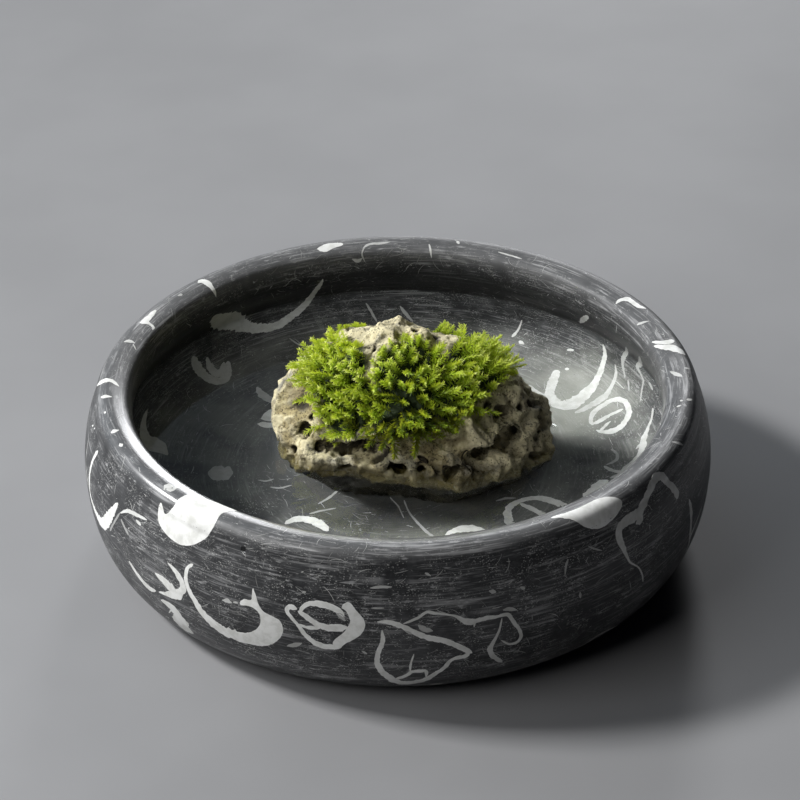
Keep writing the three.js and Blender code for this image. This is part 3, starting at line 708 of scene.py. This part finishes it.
# Broken shell and spar: short thin slivers all over the stone, between two runs and so many. Shares are the
# chance of a short one and of one that lies along the turning.
slivers = {"shell_grit_outside": (-2.0, 88.0, 3400), "shell_grit_inside": (-150.0, -3.0, 3400)}
sliver = {"short": (0.8, 2.2), "long": (2.2, 7.5), "shortShare": 0.6, "width": (0.14, 0.34), "stub": 1.2,
          "stubWider": 1.6, "alongShare": 0.72, "astray": 0.5, "bend": 0.16, "step": 0.8, "patch": (2.2, 22),
          "patchy": (0.55, 1.2), "clear": (0.1, 0.15, 0.22, 0.34, 0.55), "lift": 0.02}


def shellGrit(name, material):
    lowest, highest, count = slivers[name]
    (across, along), (usual, clumped) = sliver["patch"], sliver["patchy"]
    points, faces, clear = [], [], []
    made = 0
    while made < count:
        run = chance.uniform(lowest, highest)
        radius = float(np.interp(run, lineRun, line[:, 0]))
        turn = chance.uniform(0, 360)
        angle = math.radians(turn)
        thick = noise.noise((math.cos(angle) * across, math.sin(angle) * across, run / along))
        if chance.random() * basin["belly"] > radius or chance.random() > usual + clumped * thick:
            continue
        made += 1
        long = chance.uniform(*sliver["short"] if chance.random() < sliver["shortShare"] else sliver["long"])
        wide = chance.uniform(*sliver["width"]) * (sliver["stubWider"] if long < sliver["stub"] else 1)
        if chance.random() < sliver["alongShare"]:
            heading = chance.gauss(0, sliver["astray"])
        else:
            heading = chance.uniform(0, math.pi)
        bend = chance.uniform(-sliver["bend"], sliver["bend"])
        steps = max(2, int(long / sliver["step"]))
        x = y = 0.0
        way = []
        for i in range(steps + 1):
            half = wide / 2 * math.sin(math.pi * (0.12 + 0.76 * i / steps)) * chance.uniform(0.7, 1.2)
            way.append((x, y, heading, half))
            x += math.cos(heading) * long / steps
            y += math.sin(heading) * long / steps
            heading += bend
        base = len(points)
        for x, y, heading, half in way:
            for side in (half, -half):
                points.append((turn + math.degrees((x - math.sin(heading) * side) / radius),
                               run - y - math.cos(heading) * side))
        faces += [(base + 2 * i, base + 2 * i + 2, base + 2 * i + 3, base + 2 * i + 1) for i in range(steps)]
        clear += [chance.choice(sliver["clear"])] * (2 * steps + 2)
    flat = np.array(points)
    flat[:, 1] = np.clip(flat[:, 1], lineRun[0] + 8, footRun - 1)
    places = onStone(flat[:, 0], flat[:, 1], sliver["lift"])
    note(piece(name, places * mm, faces, material, "basin"), "clear", clear)


stone, spar = limestone(), calcite()
turned = basinStone(stone)
stoneTree = BVHTree.FromPolygons([corner.co / mm for corner in turned.data.vertices],
                                 [tuple(face.vertices) for face in turned.data.polygons])
hollowKeys = ("wall", "floor", "near", "uShell", "coil", "lines", "hookRight", "faintCoil", "loopShadow",
              "farLines", "rockSide")
inHollow = [key for key in fossils if key.startswith(hollowKeys)]
onLip = [key for key in fossils if key.startswith(("rim", "far", "lip")) and key not in inHollow]
onFlank = [key for key in fossils if key not in inHollow and key not in onLip]
for name, keys in (("shells_flank", onFlank), ("shells_lip", onLip), ("shells_hollow", inHollow)):
    shellInlays(name, keys, spar)
for name in slivers:
    shellGrit(name, spar)
print("basin turned, shells laid in")

# The rock: the frame's own rock made fine, then eaten into ridges, holes and pores. A wave has its size in
# millimetres and how far it stands out. A hole has its size, its reach, its depth and how common it is.
rock = {"voxel": 0.68, "soften": 3, "ridges": (17, 2.3), "crests": (8.5, 0.9), "lumps": (9, 1.2),
        "holes": (7.6, 0.44, 3.0, 0.26), "pores": (2.5, 0.42, 0.8, 0.10), "grain": (1.1, 0.32),
        "deepest": -4.6, "highest": 2.6, "bed": 13.3, "cave": 16, "warp": (11, 3.5), "poreWarp": (3, 0.5),
        "clear": 0.25}


def fineRock():
    rough = bpy.data.objects.new("rough_rock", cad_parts["rock"].data.copy())
    scene.collection.objects.link(rough)
    remesh = rough.modifiers.new("fine", "REMESH")
    remesh.mode, remesh.voxel_size = "VOXEL", rock["voxel"] * mm
    soften = rough.modifiers.new("soften", "SMOOTH")
    soften.factor, soften.iterations = 0.5, rock["soften"]
    mesh = bpy.data.meshes.new_from_object(rough.evaluated_get(bpy.context.evaluated_depsgraph_get()))
    bpy.data.objects.remove(rough)
    points = np.empty(len(mesh.vertices) * 3, np.float32)
    normals = np.empty_like(points)
    mesh.vertices.foreach_get("co", points)
    mesh.vertex_normals.foreach_get("vector", normals)
    faces = [tuple(face.vertices) for face in mesh.polygons]
    bpy.data.meshes.remove(mesh)
    return points.reshape(-1, 3) / mm, normals.reshape(-1, 3), faces


# A round-edged hole in some of the cells of a froth
def eaten(point, size, reach, deep, common):
    (near, *_), (home, *_) = noise.voronoi(point / size)
    if noise.cell(home * 7.3) * 0.5 + 0.5 > common:
        return 0
    hole = min(max((reach - near) / (reach * 0.6), 0), 1)
    return hole * hole * (3 - 2 * hole) * deep


def crest(point, size):
    return 1 - 2.6 * abs(noise.noise(point / size)) - 0.8 * abs(noise.noise(point / size * 2.3))


def rockForm():
    points, normals, faces = fineRock()
    lift, pits = np.empty(len(points)), np.empty(len(points))
    (ridgeSize, ridge), (crestSize, small), (lumpSize, lump), (grainSize, grain) = (
        rock[key] for key in ("ridges", "crests", "lumps", "grain"))
    (warpSize, warp), (poreSize, poreWarp) = rock["warp"], rock["poreWarp"]
    for i, spot in enumerate(points):
        p = Vector(spot)
        warped = p + noise.noise_vector(p / warpSize) * warp
        form = crest(warped, ridgeSize) * ridge + crest(warped + p * 0.3, crestSize) * small
        form += noise.noise(p / lumpSize) * lump - 0.9
        bite = eaten(warped, *rock["holes"])
        bite += eaten(p + noise.noise_vector(p / poreSize) * poreWarp, *rock["pores"])
        lift[i] = form - bite + noise.fractal(p / grainSize, 0.7, 2.0, 2) * grain
        pits[i] = bite - form * 0.5
    points = points + normals * np.clip(lift, rock["deepest"], rock["highest"])[:, None]
    points[:, 2] = np.maximum(points[:, 2], rock["bed"])
    return points, faces, pits


# How enclosed the rock is at each of its points, from 0 in the open to 1 deep in a cave
def enclosed(points, faces, tree):
    made = bpy.data.meshes.new("rock_form")
    made.from_pydata([tuple(p) for p in points], [], faces)
    normals = np.empty(len(points) * 3, np.float32)
    made.vertex_normals.foreach_get("vector", normals)
    bpy.data.meshes.remove(made)
    reach, share = rock["cave"], np.zeros(len(points))
    spread = [Vector((0, 0, 1))] + [Vector((math.cos(k) * c, math.sin(k) * c, s)) for c, s, turns in
                                    ((0.6, 0.8, (0.3, 2.4, 4.5)), (0.92, 0.39, (0, 1.26, 2.51, 3.77, 5.03)))
                                    for k in turns]
    for i, (spot, normal) in enumerate(zip(points, normals.reshape(-1, 3))):
        up = Vector(normal)
        frameOfIt = up.to_track_quat("Z", "Y")
        start = Vector(spot) + up * rock["clear"]
        hits = (tree.ray_cast(start, frameOfIt @ way, reach)[3] for way in spread)
        share[i] = sum(1 - hit / reach for hit in hits if hit is not None) / len(spread)
    return share


rockPoints, rockFaces, rockPits = rockForm()
rockTree = BVHTree.FromPolygons([tuple(p) for p in rockPoints], rockFaces)
rockCaves = enclosed(rockPoints, rockFaces, rockTree)
print("rock eaten away,", len(rockFaces), "faces, caves up to", rockCaves.max().round(2))

# Still water that climbs a little where it wets the stone and the rock, with finer rings near the rock
water = {"climb": 1.8, "reach": 1.8, "rockClimb": 1.6, "rockReach": 1.8, "sides": 480, "into": 0.2,
         "middle": 6, "nearRock": (26, 84), "edge": 9, "steps": (4, 0.8, 2.2, 0.7)}


def clearWater():
    return finish("clear_water", Base_Color=ink(0.93, 0.96, 0.95), Roughness=0.0, IOR=1.33,
                  Transmission_Weight=1.0)[0]


def stillWater():
    w = water
    inside = (lineRun < -20) & (line[:, 1] < waterLevel + w["climb"])
    downwards = lineRun[inside][::-1]
    wall = onStone(0, downwards[0], -w["into"])[0]
    (near, far), (wide, fine, outer, edge) = w["nearRock"], w["steps"]
    radii = np.concatenate([np.arange(w["middle"], near, wide), np.arange(near, far, fine),
                            np.arange(far, wall - w["edge"], outer),
                            np.arange(wall - w["edge"], wall - 0.4, edge), [wall]])
    turns = np.arange(w["sides"]) * 2 * math.pi / w["sides"]
    grid = np.zeros((len(radii), len(turns), 3))
    grid[..., 0] = radii[:, None] * np.cos(turns)
    grid[..., 1] = radii[:, None] * np.sin(turns)
    grid[..., 2] = waterLevel + w["climb"] * np.exp(-(wall - radii[:, None]) / w["reach"])
    for ring, radius in zip(grid, radii):
        if near <= radius < far:
            for spot in ring:
                away = rockTree.find_nearest(Vector((spot[0], spot[1], waterLevel + 0.4)), w["edge"])[3]
                if away is not None:
                    spot[2] += w["rockClimb"] * math.exp(-away / w["rockReach"])
    sunk = np.append(downwards[4:-2:4], lineRun[1])
    below = onStone(np.degrees(turns)[None, :], sunk[:, None], -w["into"])
    grid = np.concatenate([grid, below])
    rows, sides = len(grid), len(turns)
    points = np.vstack([grid.reshape(-1, 3), [[0, 0, waterLevel], [0, 0, basin["floor"] - w["into"]]]])
    faces = ringFaces(rows, sides)
    last = (rows - 1) * sides
    faces += [(rows * sides, s, (s + 1) % sides) for s in range(sides)]
    faces += [(rows * sides + 1, last + (s + 1) % sides, last + s) for s in range(sides)]
    made = piece("still_water", points * mm, faces, clearWater(), "basin", ["water"], sharp=70)
    made.visible_shadow = False


stillWater()
print("water poured")

# Porous rock: pale worn ridges, dark pores, an olive film where it is wet. Painted light makes its top and
# its right side paler; painted shade darkens its holes and caves, the part just under the water, and the rock
# past the moss's dark mat
rockLook = {"pale": (0.68, 0.61, 0.39), "tan": (0.40, 0.33, 0.17), "grey": (0.33, 0.31, 0.24),
            "pore": (0.016, 0.012, 0.008), "film": (0.100, 0.080, 0.022), "sunk": (0.006, 0.006, 0.003),
            "moss": (0.014, 0.026, 0.005), "paintedLightAt": (0.052, -0.012, 0.060)}


def porousRock():
    look = rockLook
    material, sheet, shader = finish("porous_rock")
    where = sheet.where()
    height = where.axis(2)
    pit = sheet.noted("pit")
    cave = sheet.noted("cave")
    grown = sheet.noted("grown")
    broad = where.cloud(60, 3, 0.55)
    patchy = where.cloud(170, 4, 0.62)
    grain = where.cloud(950, 3, 0.6)
    pores = where.cells(1050)
    crust = broad.between(0.40, 0.60).blended(ink(*look["tan"]), ink(*look["grey"]))
    # Painted light: the rock's right side and its top are paler, and their holes and caves less dark
    right = where.away(look["paintedLightAt"]).between(0.036, 0.020)
    worn = (patchy + pit * -0.10 + height.between(0.078, 0.092) * 0.2 + right * 0.16).between(0.42, 0.66)
    colour = worn.blended(crust, ink(*look["pale"]))
    colour = (right * 0.55).blended(colour, ink(*look["pale"]))
    # Painted shade: the rock's deeper hollows take the dark pore colour
    hollow = pit.between(0.35, 2.0)
    tiny = pores.between(0.34, 0.14) * where.cloud(230, 2, 0.5).between(0.45, 0.62)
    colour = (hollow * (0.92 - right * 0.3)).blended(colour, ink(*look["pore"]))
    colour = (tiny * 0.5).blended(colour, ink(*look["pore"]))
    dark = grain.between(0.50, 0.36) * patchy.between(0.56, 0.44)
    colour = (dark * 0.7).blended(colour, ink(*look["pore"]))
    # Painted shade in the caves, by how enclosed each point is
    colour = (cave.between(0.26, 0.52) * (0.94 - right * 0.35)).blended(colour, ink(*look["pore"]))
    damp = (height + patchy * 0.008).between(0.0590, 0.0510)
    colour = (damp * 0.85).blended(colour, ink(*look["film"]))
    # Painted shade: the rock just under the water turns nearly black
    colour = ((height + patchy * 0.004).between(0.0465, 0.0415) * 0.98).blended(colour, ink(*look["sunk"]))
    # The moss's dark mat on the rock, reaching past the moss's edge as painted shadow
    colour = grown.blended(colour, ink(*look["moss"]))
    rough = 0.82 - damp * 0.62 + grain * 0.12
    relief = grain * 0.6 + patchy * 0.8 - tiny * 1.6
    feed(shader, Base_Color=colour, Roughness=rough, Normal=relief.bump(1.0, 0.0007))
    return material


# The middle of each tuft, in millimetres, and how far it spreads over the rock
tufts = {
    "moss_top": (7.0, -16.0, 87.0, 15),
    "moss_crown_left": (-26.6, -7.4, 83.3, 15),
    "moss_crown_right": (34.4, -4.6, 83.8, 13),
    "moss_front": (-1.0, -28.6, 75.5, 11.5),
    "moss_front_left": (-19.7, -19.2, 75.5, 13),
    "moss_front_right": (22.4, -20.4, 78.0, 10.5),
    "moss_left": (-30.4, 6.1, 81.3, 9),
    "moss_right": (38.8, 6.7, 79.3, 10),
    "moss_back_left": (-21.0, 27.6, 78.3, 12),
    "moss_back_right": (21.2, 25.3, 76.3, 12),
    "moss_low_front": (9.5, -28.0, 72.0, 7.5),
}

# The fronds, in millimetres. The heart is the parting that they lean away from, and a frond's way is made up
# of how much it follows the rock's face, the way from the heart, the way outward and chance.
moss = {"length": 15.5, "shortest": 7.5, "axis": (3.0, 5.0), "spacing": 2.75, "needles": 36, "needle": 3.5,
        "needleWidth": 0.86, "stem": 0.36, "rings": 5, "tip": 0.97, "kinds": 7, "heart": (3.0, -23.0, 81.0),
        "middle": (0.78, 0.86, 0.06), "through": 0.36, "aroundRoot": 4, "followFace": 0.46,
        "followHeart": 0.56, "followOut": 0.12, "lift": (0, -0.08, 0.16), "wander": 0.33, "lowest": 0.2,
        "raised": 0.45, "lengths": (0.66, 1.12), "bend": (-0.12, 0.2), "widths": (0.8, 1.1), "rooted": 0.6,
        "edge": 1.16, "edgeWidth": 0.22}


# One frond along +Z: a stem with needles all round it, flatter along Y, closing towards the tip
def frondKind(seed):
    pick = random.Random(seed)
    long = moss["length"]
    points, faces, tone = [], [], []
    for i in range(moss["rings"]):
        t = i / (moss["rings"] - 1)
        radius = moss["stem"] * (1 - 0.7 * t)
        for k in range(3):
            points.append((radius * math.cos(k * 2.094), radius * math.sin(k * 2.094),
                           long * t * moss["tip"]))
            tone.append(0.1 + 0.45 * t)
        if i:
            a = 3 * i
            faces += [(a - 3 + k, a - 3 + (k + 1) % 3, a + (k + 1) % 3, a + k) for k in range(3)]
    for i in range(moss["needles"]):
        t = 0.10 + 0.90 * (i + pick.uniform(-0.3, 0.3)) / moss["needles"]
        full = math.sin(math.pi * min(0.16 + 0.84 * t, 1)) ** 0.45 if t < 0.9 else 0.62
        leaf = moss["needle"] * (0.45 + 0.55 * full) * pick.uniform(0.8, 1.15)
        wide = moss["needleWidth"] * pick.uniform(0.8, 1.2)
        opening = math.radians(60 - 26 * t + pick.gauss(0, 6))
        around = i * 2.39996 + pick.gauss(0, 0.25)
        out = Vector((math.cos(around), 0.6 * math.sin(around), 0)) * math.sin(opening)
        way = (out + Vector((0, 0, math.cos(opening)))).normalized()
        side = way.cross(Vector((math.cos(around), math.sin(around), 0))).normalized()
        fold = way.cross(side) * wide * 0.35
        root = Vector((0, 0, long * t * moss["tip"]))
        base = len(points)
        halfway = root + way * leaf * 0.5
        for p, k in ((root, 0.0), (halfway + side * wide / 2 + fold, 0.55),
                     (halfway - side * wide / 2 + fold, 0.55), (halfway, 0.4), (root + way * leaf, 1.0)):
            points.append(tuple(p))
            tone.append(0.10 + 0.50 * t + 0.40 * k * (0.35 + 0.65 * t))
        faces += [(base, base + 1, base + 3), (base, base + 3, base + 2), (base + 1, base + 4, base + 3),
                  (base + 3, base + 4, base + 2)]
    return np.array(points), faces, np.array(tone)


frondKinds = [frondKind(seed) for seed in range(moss["kinds"])]


def mossGreen():
    material, sheet, shader = finish("moss_green", Roughness=0.5, Specular_IOR_Level=0.4)
    tone = sheet.noted("tone")
    hue = sheet.noted("hue")
    where = sheet.where()
    mixed = tone + (where.cloud(330, 2, 0.5) - 0.5) * 0.35
    leaf = mixed.add("ShaderNodeValToRGB", {"stops": [
        (0.0, (0.008, 0.015, 0.003)), (0.2, (0.060, 0.120, 0.010)), (0.38, (0.430, 0.600, 0.045)),
        (0.62, (0.780, 0.890, 0.140)), (1.0, (0.940, 0.960, 0.460))]}, {"Fac": mixed})
    dull = mixed.add("ShaderNodeValToRGB", {"stops": [
        (0.0, (0.008, 0.014, 0.003)), (0.24, (0.060, 0.110, 0.012)), (0.50, (0.420, 0.530, 0.060)),
        (1.0, (0.800, 0.850, 0.260))]}, {"Fac": mixed})
    feed(shader, Base_Color=hue.blended(leaf, dull), Normal=where.cloud(2600, 1, 0.5).bump(0.3, 0.0001))
    tree = material.node_tree
    through = sheet.add("ShaderNodeBsdfTranslucent", {}, {"Color": ink(*moss["middle"])})
    solid = Wire(tree, shader.outputs[0])
    both = sheet.add("ShaderNodeMixShader", {}, {0: moss["through"], 1: solid, 2: through})
    tree.links.new(both.socket, tree.nodes["Material Output"].inputs["Surface"])
    return material


# Roots spread evenly over the rock wherever a tuft reaches, each one for its nearest tuft
def mossRoots():
    corners = np.array([face[:3] for face in rockFaces])
    middles = rockPoints[corners].mean(1)
    names = list(tufts)
    homes = np.array([rockTree.find_nearest(Vector(tufts[name][:3]))[0][:] for name in names])
    spreads = np.array([tufts[name][3] for name in names])
    away = np.linalg.norm(middles[:, None] - homes[None], axis=2)
    inside = np.nonzero((away / spreads).min(1) < 1.0)[0]
    order = list(inside)
    chance.shuffle(order)
    taken, roots = {}, {name: [] for name in names}
    gap, steps = moss["spacing"], (-1, 0, 1)
    for i in order:
        spot = middles[i]
        cell = tuple((spot // gap).astype(int))
        beside = [taken.get((cell[0] + a, cell[1] + b, cell[2] + c), [])
                  for a in steps for b in steps for c in steps]
        if any(np.linalg.norm(spot - other) < gap for group in beside for other in group):
            continue
        taken.setdefault(cell, []).append(spot)
        nearest = int((away[i] / spreads).argmin())
        roots[names[nearest]].append((Vector(spot), float(away[i][nearest] / spreads[nearest])))
    return roots, homes, spreads


# 0 up to the start, then in a straight line up to 1 over a run
def ramp(value, start, run):
    return min(max((value - start) / run, 0), 1)


# The face of the rock round a root, evened out over four places beside it
def faceAt(root):
    lean = Vector((0, 0, 0))
    for step in range(4):
        turn = step * math.pi / 2 + 0.4
        aside = Vector((math.cos(turn), math.sin(turn), 0.4)) * moss["aroundRoot"]
        _, face, _, _ = rockTree.find_nearest(root + aside)
        lean += face if face.dot(root - Vector((*moss["axis"], 55))) > 0 else -face
    return lean.normalized()


def frondLength(root, out):
    high = ramp(root.z, 78, 11) * min(max((25 - abs(root.x + 5)) / 8, 0), 1)
    long = (moss["length"] + (moss["shortest"] - moss["length"]) * high) * chance.uniform(*moss["lengths"])
    long *= 1 - 0.42 * ramp(root.y, 6, 12)
    return long * ((1 - 0.25 * max(out - 0.6, 0)) * (1 - 0.25 * min(abs(root.x - moss["axis"][0]) / 40, 1)))


def tuft(name, roots, green):
    axis, heart = Vector((*moss["axis"], 0)), Vector(moss["heart"])
    points, faces, tone, hue = [], [], [], []
    total = 0
    for root, out in roots:
        face = faceAt(root)
        outward = Vector((root.x - axis.x, root.y - axis.y, 0))
        outward = outward / max(outward.length, 16)
        apart = root - heart
        along = (apart - face * apart.dot(face)) / max(apart.length, 6)
        wander = Vector((chance.gauss(0, 1), chance.gauss(0, 1), chance.gauss(0, 1))) * moss["wander"]
        way = face * moss["followFace"] + along * moss["followHeart"] + outward * moss["followOut"]
        way = (way + Vector(moss["lift"]) + wander).normalized()
        if way.dot(face) < moss["lowest"]:
            way = (way + face * moss["raised"]).normalized()
        long = frondLength(root, out)
        across = way.cross(face if abs(way.dot(face)) < 0.96 else face.orthogonal()).normalized()
        up = across.cross(way)
        roll = chance.gauss(0, 0.4)
        turned = across * math.cos(roll) + up * math.sin(roll)
        across, up = turned, up * math.cos(roll) - across * math.sin(roll)
        if up.dot(face) < 0:
            across, up = -across, -up
        kind, kindFaces, kindTone = frondKinds[chance.randrange(moss["kinds"])]
        t = kind[:, 2:3] / moss["length"]
        bend = chance.uniform(*moss["bend"])
        size = chance.uniform(*moss["widths"])
        sideways = kind[:, 0:1] * size * np.array(across)
        upwards = (kind[:, 1:2] * size + bend * long * t * t) * np.array(up)
        local = sideways + upwards + t * long * np.array(way)
        faces += [tuple(k + total for k in corner) for corner in kindFaces]
        points.append(local + np.array(root - face * moss["rooted"]))
        # Painted shade: fronds low on the front, and those near the heart, are darker
        low = min(max((77 - root.z) / 8, 0), 1) * (root.x > -18)
        shade = 0.34 * max(1 - apart.length / 15, 0) + 0.62 * low
        tone.append(kindTone * (1 - 0.5 * shade) - shade * 0.55 + chance.gauss(0, 0.07))
        hue.append(np.full(len(kind), min(max(chance.gauss(0.22, 0.28), 0), 1)))
        total += len(kind)
    made = piece(name, np.vstack(points) * mm, faces, green, "planting", [name], smooth=False)
    note(made, "tone", np.concatenate(tone))
    note(made, "hue", np.concatenate(hue))


green = mossGreen()
roots, homes, spreads = mossRoots()
for name in roots:
    tuft(name, roots[name], green)
away = np.linalg.norm(rockPoints[:, None] - homes[None], axis=2) / spreads
crust = piece("porous_rock", rockPoints * mm, rockFaces, porousRock(), "planting", ["rock"])
note(crust, "pit", rockPits)
note(crust, "cave", rockCaves)
note(crust, "grown", np.clip((moss["edge"] - away.min(1)) / moss["edgeWidth"], 0, 1))
print("moss planted,", sum(len(kept) for kept in roots.values()), "fronds")

# Floor, light from the left and a little behind, and a room with one soft window behind. A lamp has its turn
# and height in degrees, its distance, its two sides and its power.
studio = {"floor": (0.26, 0.26, 0.265), "key": (166, 41, 3.2, 0.6, 0.42, 128),
          "side": (216, 36, 0.75, 0.5, 0.4, 2.1), "bright": (0.34, 0.42, 0.51), "dim": (0.003, 0.003, 0.004),
          "brightFrom": (142, 32), "window": (18.0, 18.2, 18.6), "windowFrom": 83, "windowWidth": (5.5, 2.5),
          "windowHeight": (0.02, 0.10, 0.34, 0.47)}


def towards(turn, height):
    turn, height = math.radians(turn), math.radians(height)
    return Vector((math.cos(turn) * math.cos(height), math.sin(turn) * math.cos(height), math.sin(height)))


def lamp(name):
    turn, height, away, wide, deep, power = studio[name]
    light = bpy.data.lights.new(name, "AREA")
    light.energy = power
    light.shape = "RECTANGLE"
    light.size, light.size_y = wide, deep
    made = bpy.data.objects.new(name, light)
    scene.collection.objects.link(made)
    place = towards(turn, height)
    made.location = place * away + Vector((0, 0, 0.05))
    made.rotation_euler = place.to_track_quat("Z", "Y").to_euler()


def room():
    s = studio
    world = bpy.data.worlds.new("pale_room")
    scene.world = world
    world.use_nodes = True
    sheet = Wire(world.node_tree)
    shader = world.node_tree.nodes["Background"]
    way = sheet.add("ShaderNodeTexCoord", output=0)
    axes = (towards(*s["brightFrom"]), towards(s["windowFrom"] + 90, 0), (0, 0, 1),
            towards(s["windowFrom"], 0))
    side, left, up, ahead = (sheet.add("ShaderNodeVectorMath", {"operation": "DOT_PRODUCT"},
                                       {0: way, 1: tuple(axis)}, 1) for axis in axes)
    glow = side.between(0.60, 1.0).blended(ink(*s["dim"]), ink(*s["bright"]))
    outer, inner = (math.sin(math.radians(angle)) for angle in s["windowWidth"])
    low, full, ebb, high = s["windowHeight"]
    wide = left.between(-outer, -inner) * left.between(outer, inner) * ahead.between(0, 0.1)
    window = wide * up.between(low, full) * up.between(high, ebb)
    feed(shader, Color=window.blended(glow, ink(*s["window"])))


def floor():
    material, sheet, shader = finish("pale_floor", Roughness=0.6)
    where = sheet.where()
    grain = where.cloud(9, 3, 0.5)
    low, high = (tuple(c * k for c in studio["floor"]) for k in (0.95, 1.03))
    feed(shader, Base_Color=grain.between(0.3, 0.7).blended(ink(*low), ink(*high)))
    mesh = bpy.data.meshes.new("floor")
    reach = 4
    corners = [(-reach, -reach, 0), (reach, -reach, 0), (reach, reach, 0), (-reach, reach, 0)]
    mesh.from_pydata(corners, [], [(0, 1, 2, 3)])
    mesh.materials.append(material)
    made = bpy.data.objects.new("floor", mesh)
    scene.collection.objects.link(made)


lamp("key")
lamp("side")
room()
floor()
print("stage lit")
